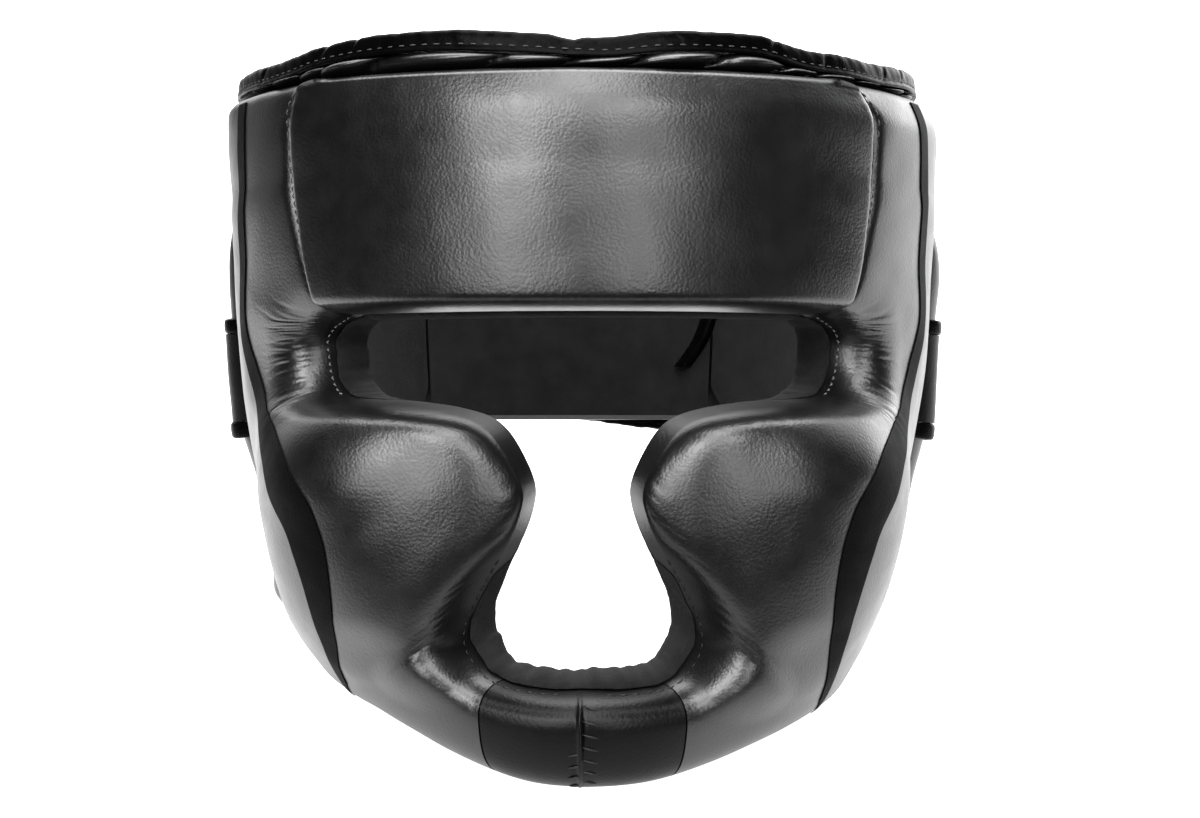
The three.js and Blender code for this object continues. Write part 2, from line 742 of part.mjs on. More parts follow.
add('forehead_lining', foreheadLining(), SUEDE);
add('forehead_pad', foreheadPad(), CHARCOAL);
for (const [name, side] of [['left', -1], ['right', 1]]) {
  add(`side_lining_${name}`, sideLining(side), SUEDE);
  add(`side_pad_${name}`, sidePad(side), CHARCOAL);
  add(`stripe_${name}`, stripe(side), BLACK);
  add(`chin_panel_${name}`, chinPanel(side), BLACK);
  add(`ear_pad_${name}`, earPad(side), CHARCOAL);
}
add('back_panel', backPanel(), CHARCOAL);
add('crown_band', crownBand(), CHARCOAL);
add('rim_binding', rimBinding(), GLOSS_BLACK);
add('back_strap', backStrap(), BLACK);
add('strap_edge_upper', strapEdge(true), GLOSS_BLACK);
add('strap_edge_lower', strapEdge(false), GLOSS_BLACK);
add('flap_binding', flapBinding(), GLOSS_BLACK);

export default guard;
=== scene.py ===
"""Looks of a full-face padded head guard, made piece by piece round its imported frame.

Sizes are in millimetres and angles in degrees, and turn to metres where a mesh is made. Pieces are laid
out on the form of the wearer's head: around is the angle from the middle of the face, positive to the
viewer's right and 180 at the back, height is above the middle of the eye slot, and lift is outwards from
the form, which is the surface between the lining and the pads.
"""

import bpy
import numpy as np
from mathutils.kdtree import KDTree
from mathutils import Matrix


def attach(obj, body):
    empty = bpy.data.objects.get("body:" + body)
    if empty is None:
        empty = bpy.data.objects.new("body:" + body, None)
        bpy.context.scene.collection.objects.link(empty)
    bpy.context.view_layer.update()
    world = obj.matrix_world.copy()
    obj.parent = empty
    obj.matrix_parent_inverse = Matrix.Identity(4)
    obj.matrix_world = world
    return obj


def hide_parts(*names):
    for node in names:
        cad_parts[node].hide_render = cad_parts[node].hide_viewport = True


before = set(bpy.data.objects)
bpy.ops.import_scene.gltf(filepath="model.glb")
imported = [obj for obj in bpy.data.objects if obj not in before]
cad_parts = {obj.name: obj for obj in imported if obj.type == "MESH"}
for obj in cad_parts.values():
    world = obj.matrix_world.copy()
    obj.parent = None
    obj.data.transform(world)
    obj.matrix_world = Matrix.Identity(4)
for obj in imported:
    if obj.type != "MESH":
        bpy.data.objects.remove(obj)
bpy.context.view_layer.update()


# Linings
# Padded suede panels that lie against the wearer's brow, cheeks and jaw. They are cut to the pads and sewn
# to them round the face opening, where their edge stands out as a soft, slightly lumpy roll.
MM = 0.001
SIDES = (("left", -1), ("right", 1))
REST_TILT = 15
FLOOR_DEPTH = 83.3
BOX_MIDDLE_Y = 0.4
RIM_ASKEW = 2.4
RIM_ASKEW_FROM = 88
RIM_ASKEW_OVER = 18
JAW_ASKEW = 5.5
JAW_ASKEW_FROM = -60
JAW_ASKEW_OVER = 35
JAW_ASKEW_ACROSS = 75


def table(columns, rows):
    return {name: np.array([row[k] for row in rows], float) for k, name in enumerate(columns)}


HEAD_FORM = table(["height", "half_width", "front", "back", "front_pad", "side_pad"], [
    [-120, 53, 89, 66, 20, 17],
    [-95, 62, 94, 76, 25, 21],
    [-70, 71, 97.5, 85, 26.5, 23],
    [-40, 80, 100, 92, 27, 24.5],
    [-10, 86, 102, 98, 26.5, 26],
    [20, 88.5, 103.5, 102, 27, 27],
    [50, 90, 104.5, 104, 27, 27],
    [76, 93, 105.5, 105, 25, 25.5],
    [92, 99, 108, 106, 21, 20],
    [104, 106, 111, 107, 14, 12],
    [116, 112, 115, 110, 8, 6],
])
SIDE_PLACES = ["front_around", "front_height", "rear_around", "rear_height"]
SIDE_SECTIONS = table(["at", *SIDE_PLACES, "front_lift", "front_roll", "lining_show"], [
    [0.00, 43.2, 102, 97, 101, 10, 16, 0],
    [0.04, 46.4, 95, 97, 94, 10, 16, 0],
    [0.10, 46.4, 84, 97, 84, 10, 16, 0],
    [0.19, 45.2, 66, 97, 66, 10, 16, 0],
    [0.28, 43.5, 48, 97, 47, 10, 16, 0],
    [0.33, 42.2, 37, 97, 34, 10, 16, 0],
    [0.36, 41.2, 30, 97, 26.5, 10, 16, 0.6],
    [0.38, 46.6, 26, 97, 21, 10, 17, 1.5],
    [0.43, 49.4, 16.6, 97, 6, 9, 18, 2],
    [0.47, 47.4, 7.6, 96.5, -10, 9, 17, 2],
    [0.51, 42, 3.8, 95.5, -32, 10, 8, 0.8],
    [0.56, 29.5, 2.1, 93, -62, 13, 5.5, -1],
    [0.60, 21.6, 0.3, 87, -78, 14, 6, -2],
    [0.63, 16.4, -2.2, 80, -83.5, 15, 8, -2],
    [0.66, 13.1, -6.3, 73, -86.5, 16, 11, -2],
    [0.69, 10.3, -13.9, 66, -88.8, 17, 13, -2],
    [0.72, 8.3, -22.8, 59, -91, 17, 14, -2],
    [0.75, 8.6, -30, 53, -92.5, 17, 14, -2],
    [0.78, 10.4, -38.5, 48, -93.7, 15, 12, -1.5],
    [0.82, 13.7, -47.7, 43, -95.5, 10, 10, 0.5],
    [0.86, 16.9, -57.6, 38, -97.5, 9, 9, 2.5],
    [0.89, 18.6, -64.2, 34, -99.5, 9, 9, 4.5],
    [0.92, 18.7, -70.9, 29, -102, 9, 9, 5],
    [0.95, 16.7, -76.9, 22.5, -105.5, 10, 10, 4.5],
    [1.00, 12.9, -82.5, 12.5, -110.5, 11, 10, 4],
    [1.05, 6.5, -84.4, 6.3, -112.6, 11, 10, 4],
    [1.10, -0.06, -84.2, -0.06, -113.3, 11, 10, 4],
])
CHIN_FROM = 1.0
CHIN_TO = 1.1
FOREHEAD = table(["height", "half_around"], [
    [29.8, 39.8], [32, 40.5], [37, 41.3], [48, 42.7], [66, 44.4], [84, 45.6],
    [94, 45.5], [98.5, 44.2], [101.3, 42], [102.5, 38.5],
])
CORNER_AT = 0.36
LINING_THICK = 5
LINING_GAP = 0.8
LINING_CLEAR = 0.5
LINING_EDGE = 2
LINING_ROLL_LIFT = 8.2
LINING_TOP = 106
LINING_LOWEST = -106
LINING_ROWS = 330
LINING_SHARP = 70
ROLL_POINTS = 14
UNDER_SHARES = (0.04, 0.2, 0.6, 1)
INNER_POINTS = 16
PAST_REAR = 0.013
PAST_REAR_TO = 0.52
PAST_REAR_FADE = 0.05
BROW_SHOW = 2
BROW_ROLL_POINTS = 12
BROW_FOOT = 0.6
BROW_HEIGHTS = np.concatenate([np.linspace(34, 80, 10), np.linspace(84, LINING_TOP, 14)])
BROW_COLUMNS = 180
BROW_INNER_SHARES = np.concatenate([[-1, -0.985], np.linspace(-0.97, 0.97, 22), [0.985, 1]])
BROW_SUNK_FROM = 0.98
BROW_TUCK = 0.5
BROW_TUCK_FROM = 3
BROW_SINK = 0.5
LUMP_HEIGHT = 0.6
SHOW_WAVES = ((11, 0.35), (6, 0.3), (3.2, 0.2))
LUMP_WAVES = ((9, 0.5), (5.3, 0.3), (3.1, 0.25), (1.7, 0.15))
SUEDE_NAP = 0.5
SUEDE_PATCH = 9
LINING_TONES = ((0.005, 0.005, 0.0052), (0.02, 0.02, 0.0207))
FLARE_FROM = 70
FLARE_OVER = 24
FLARE_LEVEL = 0.85


def along(rows, name, x):
    """A smooth curve through the rows of a table: one column, read at values of the first."""
    xs, ys = next(iter(rows.values())), rows[name]
    step = np.diff(xs)
    slope = np.diff(ys) / step
    middle = (slope[:-1] * step[1:] + slope[1:] * step[:-1]) / (step[1:] + step[:-1])
    tangent = np.concatenate([slope[:1], middle, slope[-1:]])
    k = np.clip(np.searchsorted(xs, x) - 1, 0, len(step) - 1)
    t = (x - xs[k]) / step[k]
    start = ys[k] * (2 * t**3 - 3 * t**2 + 1) + tangent[k] * step[k] * (t**3 - 2 * t**2 + t)
    end = ys[k + 1] * (3 * t**2 - 2 * t**3) + tangent[k + 1] * step[k] * (t**3 - t**2)
    return start + end


def head_point(around, height):
    around, height = np.broadcast_arrays(np.radians(around), np.asarray(height, float))
    s, c = np.sin(around), np.cos(around)
    reaches = ("half_width", "front", "back")
    half_width, front, back = (along(HEAD_FORM, name, height) for name in reaches)
    radius = 1 / np.hypot(s / half_width, c / np.where(c > 0, front, back))
    return np.stack([radius * s, -radius * c, height], axis=-1)


def eased(x):
    x = np.clip(x, 0, 1)
    return x * x * (3 - 2 * x)


def head_normal(around, height):
    """Outwards from the form, but level towards the flared rim, so that what lies there keeps its height."""
    reach = 0.1
    across = head_point(around + reach, height) - head_point(around - reach, height)
    up = head_point(around, height + reach) - head_point(around, height - reach)
    normal = np.cross(across, up)
    normal[..., 2] *= 1 - FLARE_LEVEL * eased((np.asarray(height, float) - FLARE_FROM) / FLARE_OVER)
    return normal / np.linalg.norm(normal, axis=-1, keepdims=True)


def on_head(around, height, lift):
    """Points at a lift above the form, along the form's own normal."""
    return head_point(around, height) + head_normal(around, height) * np.asarray(lift)[..., None]


def to_rest(points):
    """From the wearer's head to the guard as it stands: a little askew, leant back and flat on the floor."""
    lean = np.radians(REST_TILT)
    x, y, z = points[..., 0], points[..., 1], points[..., 2]
    low = eased((JAW_ASKEW_FROM - z) / JAW_ASKEW_OVER)
    jaw = low * eased(-x / JAW_ASKEW_ACROSS) * eased(-y / JAW_ASKEW_OVER)
    x = x - RIM_ASKEW * eased((z - RIM_ASKEW_FROM) / RIM_ASKEW_OVER)
    z = z + JAW_ASKEW * jaw
    back = y * np.cos(lean) + z * np.sin(lean) - BOX_MIDDLE_Y
    up = z * np.cos(lean) - y * np.sin(lean) + FLOOR_DEPTH
    return np.stack([x, back, np.maximum(up, 0)], axis=-1)


def crowded(count):
    """Shares from 0 to 1 that crowd towards both ends, where the edges roll over."""
    return (1 - np.cos(np.linspace(0, np.pi, count + 1))) / 2


def distance_to(line, points):
    """How far points are from a line of points, measured to the spans on both sides of the nearest one."""
    tree = KDTree(len(line))
    for k, corner in enumerate(line):
        tree.insert(corner, k)
    tree.balance()
    flat = points.reshape(-1, 3)
    near = np.array([tree.find(point)[1] for point in flat])
    best = np.full(len(flat), np.inf)
    for first in (near - 1, near):
        k = np.clip(first, 0, len(line) - 2)
        span = line[k + 1] - line[k]
        share = ((flat - line[k]) * span).sum(-1) / np.maximum((span**2).sum(-1), 1e-12)
        foot = line[k] + np.clip(share, 0, 1)[:, None] * span
        best = np.minimum(best, np.linalg.norm(flat - foot, axis=-1))
    return best.reshape(points.shape[:-1])


def nearer(first, second, points):
    return np.minimum(distance_to(first, points), distance_to(second, points))


def lumps(points, waves, seed):
    """Gentle unevenness of a soft piece: waves of several lengths in directions drawn once."""
    draw = np.random.default_rng(seed)
    total = np.zeros(points.shape[:-1])
    for length, height in waves:
        direction = draw.normal(size=(3, 3))
        direction /= np.linalg.norm(direction, axis=1, keepdims=True)
        phase = draw.uniform(0, 2 * np.pi, 3)
        total += height * np.sin(points @ direction.T * 2 * np.pi / length + phase).sum(-1) / 2
    return total


def new_piece(name, points, faces):
    mesh = bpy.data.meshes.new(name)
    mesh.from_pydata(points.tolist(), [], faces)
    mesh.shade_smooth()
    piece = bpy.data.objects.new(name, mesh)
    bpy.context.scene.collection.objects.link(piece)
    return piece


def sewn_mesh(name, outside, inside, looped=False, sharp=50):
    """A closed skin from rows of points outside and inside, joined at their edges and over the end rows.

    The faces of the inside and of the ends take the second material, where the piece has one."""
    rows, across = outside.shape[:2]
    behind = inside.shape[1]
    ring = across + behind
    points = to_rest(np.concatenate([outside, inside[:, ::-1]], axis=1).reshape(-1, 3)) * MM
    index = np.arange(rows * ring).reshape(rows, ring)
    here = index if looped else index[:-1]
    following = np.roll(index, -1, axis=0) if looped else index[1:]
    quads = np.stack([here, following, np.roll(following, -1, 1), np.roll(here, -1, 1)], axis=-1)
    inner = np.zeros(quads.shape[:2], bool)
    inner[:, across:ring - 1] = True
    a, b, c, d = (points[quads[..., k]] for k in range(4))
    volume = (a * (np.cross(b, c) + np.cross(c, d))).sum()
    faces = quads.reshape(-1, 4).tolist()
    if not looped:
        partner = np.round(np.arange(across) * (behind - 1) / (across - 1)).astype(int)
        for row, turn in ((index[0], 1), (index[-1], -1)):
            lining = row[across:][::-1]
            for j in range(across - 1):
                corner = [row[j], row[j + 1], lining[partner[j + 1]], lining[partner[j]]]
                faces.append([int(k) for k in dict.fromkeys(corner)][::turn])
    if volume < 0:
        faces = [face[::-1] for face in faces]
    piece = new_piece(name, points, faces)
    piece.data.set_sharp_from_angle(angle=np.radians(sharp))
    second = np.concatenate([inner.ravel(), np.ones(len(faces) - inner.size)])
    piece.data.polygons.foreach_set("material_index", second.astype(np.int32))
    return piece


def dress(piece, slot, *finishes):
    """Gives a piece its finishes and its place on the guard's one body; the slot is not used."""
    for finish in finishes:
        piece.data.materials.append(finish)
    if len(finishes) == 1:
        piece.data.polygons.foreach_set("material_index", np.zeros(len(piece.data.polygons), np.int32))
    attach(piece, "root")
    return piece


def connect(owner, socket, value):
    """Sets an input of a material's or the world's node; a value that is a socket is linked."""
    if isinstance(value, bpy.types.NodeSocket):
        owner.node_tree.links.new(value, socket)
    else:
        socket.default_value = value


def feed(owner, target, **inputs):
    for name, value in inputs.items():
        connect(owner, target.inputs[name.replace("_", " ")], value)


def node(owner, kind, settings=None, **inputs):
    made = owner.node_tree.nodes.new("ShaderNode" + kind)
    for name, value in (settings or {}).items():
        setattr(made, name, value)
    feed(owner, made, **inputs)
    return made


def calculated(owner, kind, operation, *values):
    """What a Math or VectorMath node makes of its values."""
    made = node(owner, kind, {"operation": operation})
    for socket, value in zip(made.inputs, values):
        connect(owner, socket, value)
    return made.outputs["Value"]


def ranged(owner, value, start, full, low=0, high=1, steps="LINEAR"):
    """A value carried over from one range to another."""
    made = node(owner, "MapRange", {"interpolation_type": steps}, Value=value, From_Min=start, From_Max=full,
                To_Min=low, To_Max=high)
    return made.outputs["Result"]


def speckle(material, place, size, detail, **more):
    """Noise whose features are about a size in millimetres."""
    made = node(material, "TexNoise", Vector=place, Scale=1 / (size * MM), Detail=detail, **more)
    return made.outputs["Fac"]


def new_finish(name):
    material = bpy.data.materials.new(name)
    material.use_nodes = True
    shader = material.node_tree.nodes["Principled BSDF"]
    place = node(material, "TexCoord").outputs["Object"]
    return material, shader, place


def blended(material, share, low, high):
    """A colour between two, by a share."""
    mix = node(material, "Mix", {"data_type": "RGBA"}, Factor=share, A=(*low, 1), B=(*high, 1))
    return mix.outputs["Result"]


def suede(name, tones):
    material, shader, place = new_finish(name)
    fibres = speckle(material, place, size=SUEDE_NAP, detail=4, Roughness=0.7)
    patches = speckle(material, place, size=SUEDE_PATCH, detail=3)
    mottle = calculated(material, "Math", "MULTIPLY_ADD", fibres, 0.8, patches)
    share = ranged(material, mottle, 0.55, 1.25)
    bump = node(material, "Bump", Strength=0.9, Distance=0.35 * MM, Height=fibres)
    feed(material, shader, Base_Color=blended(material, share, *tones), Normal=bump.outputs["Normal"],
         Roughness=0.95, Specular_IOR_Level=0.15, Sheen_Weight=0.05, Sheen_Roughness=0.6)
    return material


def side_place(at, v):
    """A place on the side of the face: by section, and by share from its front end to its rear end."""
    front, front_height, rear, rear_height = (along(SIDE_SECTIONS, name, at) for name in SIDE_PLACES)
    return front * (1 - v) + rear * v, front_height * (1 - v) + rear_height * v


def side_span(at):
    return np.linalg.norm(head_point(*side_place(at, 0)) - head_point(*side_place(at, 1)), axis=-1)


def roll_profile(count):
    """Across a lining's rolled edge, from its tip: how far points stand into the opening, and their lifts."""
    turn = np.linspace(np.pi / 2, 0, count)
    return np.sin(turn), LINING_ROLL_LIFT * np.cos(turn)


def side_lining(side, name):
    at = np.linspace(0, CHIN_TO, LINING_ROWS)[:, None]
    show = along(SIDE_SECTIONS, "lining_show", at)
    shown = np.clip(show, 0, 1)
    show = show + shown * lumps(head_point(*side_place(at, 0)), SHOW_WAVES, seed=13 + side)
    shares, lifts = roll_profile(ROLL_POINTS)
    stands = (shares * np.maximum(show, 0) + LINING_CLEAR * shown + np.minimum(show, 0)) / side_span(at)
    past_rear = PAST_REAR * eased((PAST_REAR_TO - at) / PAST_REAR_FADE)

    def lay(front, shares):
        """Places from the front edge, with shares across the face that end a little past its rear edge."""
        v = np.concatenate([-front, np.broadcast_to(shares, (len(at), len(shares)))], axis=1)
        v[:, -1:] += past_rear
        around, height = side_place(at, v)
        height = np.maximum(height, LINING_LOWEST)
        height[0] = LINING_TOP
        return around, height

    around, height = lay(stands, UNDER_SHARES)
    lift = np.full(around.shape, -LINING_GAP)
    fuzz = LUMP_HEIGHT * lumps(head_point(around, height), LUMP_WAVES, seed=11 + side)[:, :ROLL_POINTS]
    lift[:, :ROLL_POINTS] += (lifts + LINING_GAP + fuzz) * shown
    outside = on_head(around * side, height, lift)
    around, height = lay(stands[:, :1], np.linspace(UNDER_SHARES[0], 1, INNER_POINTS))
    inner_lift = np.concatenate([[-LINING_EDGE], np.full(INNER_POINTS, -LINING_THICK)])
    inside = on_head(around * side, height, inner_lift)
    return sewn_mesh(name, outside, inside, sharp=LINING_SHARP)


def forehead_lining(name):
    lowest = FOREHEAD["height"][0]
    shares, lifts = roll_profile(BROW_ROLL_POINTS)
    heights = np.concatenate([lowest - shares * BROW_SHOW, [lowest + BROW_FOOT], BROW_HEIGHTS])[:, None]
    seam_around, seam_height = side_place(np.linspace(0, CORNER_AT, 80), 0)
    tucked = np.interp(heights, seam_height[::-1], seam_around[::-1]) + BROW_TUCK
    corner = lowest + BROW_TUCK_FROM
    pad_half = along(FOREHEAD, "half_around", np.clip(heights, lowest, corner))
    half = np.where(heights < corner, pad_half, tucked)
    around = half * np.linspace(-1, 1, BROW_COLUMNS)
    fuzz = LUMP_HEIGHT * lumps(head_point(around, heights), LUMP_WAVES, seed=15)[:BROW_ROLL_POINTS]
    lift = np.full(around.shape, -LINING_GAP)
    lift[:BROW_ROLL_POINTS] = lifts[:, None] + fuzz
    outside = on_head(around, heights, lift)
    inner_lift = BROW_SINK * (np.abs(BROW_INNER_SHARES) > BROW_SUNK_FROM) - LINING_THICK
    inside = on_head(half * BROW_INNER_SHARES, heights, inner_lift)
    return sewn_mesh(name, outside, inside, sharp=LINING_SHARP)


lining_suede = suede("lining_suede", LINING_TONES)
brow_lining = dress(forehead_lining("brow_lining_suede"), "suede_lining", lining_suede)
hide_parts("forehead_lining")
for side_name, side in SIDES:
    lining = dress(side_lining(side, f"cheek_lining_{side_name}"), "suede_lining", lining_suede)
    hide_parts(f"side_lining_{side_name}")


# Forehead pad
# A thick foam pad in pebbled synthetic leather across the brow, a rounded trapezoid with a tight roll at its
# top, a lip over the eye slot and a sewn seam down each side.
CROWN_SHARE = 0.3
CROWN_REACH = 2.8
TOP_LIFT = 6
# Edges of a pad: the lift there, the width of the roll and the share of the crown.
FOREHEAD_SIDE = (18, 4, 0.12)
FOREHEAD_LOWER = (9, 6, 0.13)
FOREHEAD_UPPER = (TOP_LIFT, 2.6, 0.06)
FOREHEAD_FULL_ENDS = 3
FOREHEAD_ROWS = 120
FOREHEAD_COLUMNS = 240
PUCKER_PITCH = 3.4
PUCKER_DEPTH = 0.12
PUCKER_REACH = 5
PUCKER_CLEAR = 0.6
LEATHER_WAVES = ((52, 0.3), (29, 0.16), (15, 0.08))
CHARCOAL_TONES = ((0.003, 0.003, 0.0032), (0.005, 0.005, 0.0053))


def rise(distance, roll, crown=CROWN_SHARE):
    """How far a padded edge has come up at a distance in from its seam: a tight roll, then a broad crown."""
    def quarter(reach):
        left = 1 - np.minimum(distance / reach, 1)
        return np.sqrt(np.maximum(1 - left**3, 0))

    return (1 - crown) * quarter(roll) + crown * quarter(roll * CROWN_REACH)


def rolled(full, *edges):
    """A pad's lift, rolled down at each edge in turn by the distance from it."""
    for distance, foot, roll, crown in edges:
        full = foot + (full - foot) * rise(distance, roll, crown)
    return full


def pad_mesh(name, around, height, lift, step, inner=0):
    """A pad's skin, closed on the wearer's side by a coarser face at an even lift."""
    inside = on_head(around[..., ::step], height[..., ::step], inner)
    return sewn_mesh(name, on_head(around, height, lift), inside)


def pad_depth(around, height):
    frontal = np.cos(np.radians(around)) ** 2
    front_pad, side_pad = (along(HEAD_FORM, name, height) for name in ("front_pad", "side_pad"))
    return front_pad * frontal + side_pad * (1 - frontal)


def puckers(run, distance, seed):
    """Small gathers where thread pulls a skin in: they fade out over a reach from the seam."""
    phase = np.random.default_rng(seed).uniform(0, 2 * np.pi, 3)
    turn = 2 * np.pi * run / PUCKER_PITCH
    beat = np.sin(turn + phase[0]) + 0.6 * np.sin(turn / 1.73 + phase[1])
    swell = 0.7 + 0.3 * np.sin(turn / 7.1 + phase[2])
    return PUCKER_DEPTH * beat * swell * (1 - eased(distance / PUCKER_REACH)) * eased(distance / PUCKER_CLEAR)


def run_along(line):
    """How far along a line of points each of them lies."""
    return np.concatenate([[0], np.cumsum(np.linalg.norm(np.diff(line, axis=0), axis=1))])


def leather(name, tones, gloss, relief, reflection, pebble=0.95):
    """Synthetic leather: pebbled grain with fine pores, uneven gloss and faint patches of tone."""
    material, shader, place = new_finish(name)
    cells = node(material, "TexVoronoi", {"feature": "SMOOTH_F1"}, Vector=place, Scale=1 / (pebble * MM),
                 Smoothness=0.5)
    pores = speckle(material, place, size=0.4 * pebble, detail=3, Roughness=0.6)
    grain = calculated(material, "Math", "MULTIPLY_ADD", pores, 0.5, cells.outputs["Distance"])
    bump = node(material, "Bump", {"invert": True}, Strength=relief, Distance=0.25 * MM, Height=grain)
    patches = ranged(material, speckle(material, place, size=22, detail=4), 0.3, 0.7)
    wear = ranged(material, speckle(material, place, size=6, detail=5), 0.25, 0.75, *gloss)
    feed(material, shader, Base_Color=blended(material, patches, *tones), Roughness=wear,
         Normal=bump.outputs["Normal"], Specular_IOR_Level=reflection)
    return material


def forehead_pad(name):
    lowest, highest = FOREHEAD["height"][0], FOREHEAD["height"][-1]
    across = 2 * crowded(FOREHEAD_COLUMNS) - 1
    heights = (lowest + (highest - lowest) * crowded(FOREHEAD_ROWS))[:, None]
    around = along(FOREHEAD, "half_around", heights) * across
    feet = head_point(around, heights)
    from_side = nearer(feet[:, 0], feet[:, -1], feet)
    from_lower, from_upper = distance_to(feet[0], feet), distance_to(feet[-1], feet)
    full = pad_depth(around, heights) + lumps(feet, LEATHER_WAVES, seed=21)
    full = full + FOREHEAD_FULL_ENDS * np.abs(across) ** 3
    full = full + puckers(feet[..., 2], from_side, seed=22)
    low, high = (from_lower, *FOREHEAD_LOWER), (from_upper, *FOREHEAD_UPPER)
    lift = rolled(full, (from_side, *FOREHEAD_SIDE), low, high)
    return pad_mesh(name, around, heights, lift, step=12)


charcoal = leather("charcoal_leather", CHARCOAL_TONES, gloss=(0.28, 0.36), relief=0.23, reflection=0.9)
brow = dress(forehead_pad("brow_pad_leather"), "charcoal_leather", charcoal)
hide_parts("forehead_pad")


# Side pads
# One foam pad in the same leather down each side of the face, from the temple round the eye to the cheek, jaw
# and chin. Its skin is gathered in fine creases round the end of the eye slot and at the corner of the mouth.
SIDE_SWELLS = table(["around", "height", "across", "up", "down", "lift"], [
    [47, 66, 40, 50, 35, 2],
    [35, -13, 24, 22, 24, 2.3],
    [60, 15, 20, 20, 16, -2],
    [31, -70, 15, 14, 13, -2],
    [22, -80, 15, 12, 12, 2],
])
CHEEK_ACROSS = table(["around", "lift"], [
    [0, 0], [4, -1.5], [8, -3], [10, -2.8], [12, -1.7], [14, -0.1], [16, 1.6], [20, 5.2],
    [24, 8.7], [28, 12.1], [31, 14], [34, 15.2], [38, 15.8], [44, 14.8], [50, 12], [57, 7],
    [64, 2.5], [72, 0], [100, 0],
])
CHEEK_DOWN = table(["height", "share"], [
    [-120, 0], [-105, 0], [-90, 0.16], [-80, 0.34], [-70, 0.54], [-60, 0.73], [-50, 0.88],
    [-40, 0.97], [-30, 1], [-20, 0.97], [-15, 0.89], [-10, 0.76], [-5, 0.58], [0, 0.36],
    [6, 0.12], [14, 0], [110, 0],
])
REAR_LIFT = 8
SIDE_PAD_TO = 0.998
SIDE_SEAM = (18, 5, 0.2)
SIDE_REAR = (REAR_LIFT, 14, CROWN_SHARE)
SIDE_TOP = (9, 4, CROWN_SHARE)
OPENING_CROWN = 0.1
SIDE_ROWS = 440
SIDE_ACROSS = 150
SIDE_SEEDS = {"left": 31, "right": 47}
ROW_CLOSENESS = table(["at", "share"], [
    [0, 0.5], [0.3, 0.6], [0.35, 2.4], [0.5, 2.2], [0.54, 1.1], [1, 1],
])
CREASE_CLEAR = 1.2
CREASE_SPREAD = 0.4
CREASE_LEAST = (-0.25, 0.7, 0.4, 0.5)
CREASE_MOST = (0.25, 1.4, 1.2, 1.3)
CREASE_GROUPS = table(["from_at", "to_at", "count", "wide", "deep", "far", "fan"], [
    [0.362, 0.50, 62, 0.4, 0.2, 15, 0.5],
    [0.365, 0.49, 30, 0.6, 0.26, 21, 0.5],
    [0.50, 0.68, 20, 1.0, 0.25, 6, 0],
    [0.68, 0.86, 24, 1.1, 0.3, 6, 0],
    [0.84, 0.97, 10, 2.2, 0.22, 16, 0],
    [0.84, 0.99, 30, 0.7, 0.1, 11, 0],
])


def swelling(around, height):
    """The full cheek, and soft swellings and hollows that each have their own reach across, up and down."""
    here = head_point(around, height)
    total = along(CHEEK_ACROSS, "lift", around) * along(CHEEK_DOWN, "share", height)
    for middle, at_height, across, up, down, lift in zip(*SIDE_SWELLS.values()):
        away = here - head_point(middle, at_height)
        rise_or_fall = away[..., 2] / np.where(away[..., 2] > 0, up, down)
        share = np.minimum(np.hypot(np.hypot(away[..., 0], away[..., 1]) / across, rise_or_fall), 1)
        total += lift * (1 - share**2) ** 2
    return total


FRONT_AT = np.linspace(0, CHIN_TO, 900)
FRONT_LINE = head_point(*side_place(FRONT_AT, 0))
FRONT_RUN = run_along(FRONT_LINE)
REAR_LINE = head_point(*side_place(FRONT_AT, 1))
TOP_LINE = head_point(*side_place(0.0, crowded(SIDE_ACROSS)))
CORNER = np.searchsorted(FRONT_AT, CORNER_AT)


def front_run(at):
    return np.interp(at, FRONT_AT, FRONT_RUN)


def creases(at, distance, seed):
    """Creases that run in from the face opening, each with its own place, lean, width, depth and length."""
    draw = np.random.default_rng(seed)
    run = front_run(at)
    total = np.zeros(np.broadcast(run, distance).shape)
    for from_at, to_at, count, wide, deep, far, fan in zip(*CREASE_GROUPS.values()):
        first, last = front_run(from_at), front_run(to_at)
        spread = CREASE_SPREAD * (last - first) / count
        places = np.linspace(first, last, int(count)) + draw.normal(0, spread, int(count))
        for place in places:
            lean, width, depth, length = draw.uniform(CREASE_LEAST, CREASE_MOST)
            lean += fan * (2 * place - first - last) / (last - first)
            off = (run - place - lean * distance) / (width * wide)
            fade = (1 - eased(distance / (length * far))) * eased(distance / CREASE_CLEAR)
            total -= depth * deep * np.exp(-off**2) * fade
    return total


def side_skin(at, v, seed):
    """Places on the side pads' skin and its lift there: it rolls over at the brow seam and at every edge."""
    around, height = side_place(at, v)
    feet = head_point(around, height)
    edges = (FRONT_LINE[:CORNER + 1], FRONT_LINE[CORNER:], REAR_LINE, TOP_LINE)
    from_seam, from_opening, from_rear, from_top = (distance_to(edge, feet) for edge in edges)
    full = pad_depth(around, height) + swelling(around, height) + lumps(feet, LEATHER_WAVES, seed)
    full = full + creases(at, from_opening, seed)
    front_lift, front_roll = (along(SIDE_SECTIONS, name, at) for name in ("front_lift", "front_roll"))
    opening = (from_opening, front_lift, front_roll, OPENING_CROWN)
    lift = rolled(full, (from_seam, *SIDE_SEAM), opening, (from_rear, *SIDE_REAR), (from_top, *SIDE_TOP))
    return around, height, lift


def side_rows():
    """Rows of the side pad, closer together where its skin is creased round the end of the eye slot."""
    at = np.linspace(0, SIDE_PAD_TO, 2000)
    closeness = np.interp(at, ROW_CLOSENESS["at"], ROW_CLOSENESS["share"])
    reached = np.concatenate([[0], np.cumsum(closeness[:-1] + closeness[1:])])
    return np.interp(np.linspace(0, reached[-1], SIDE_ROWS), reached, at)


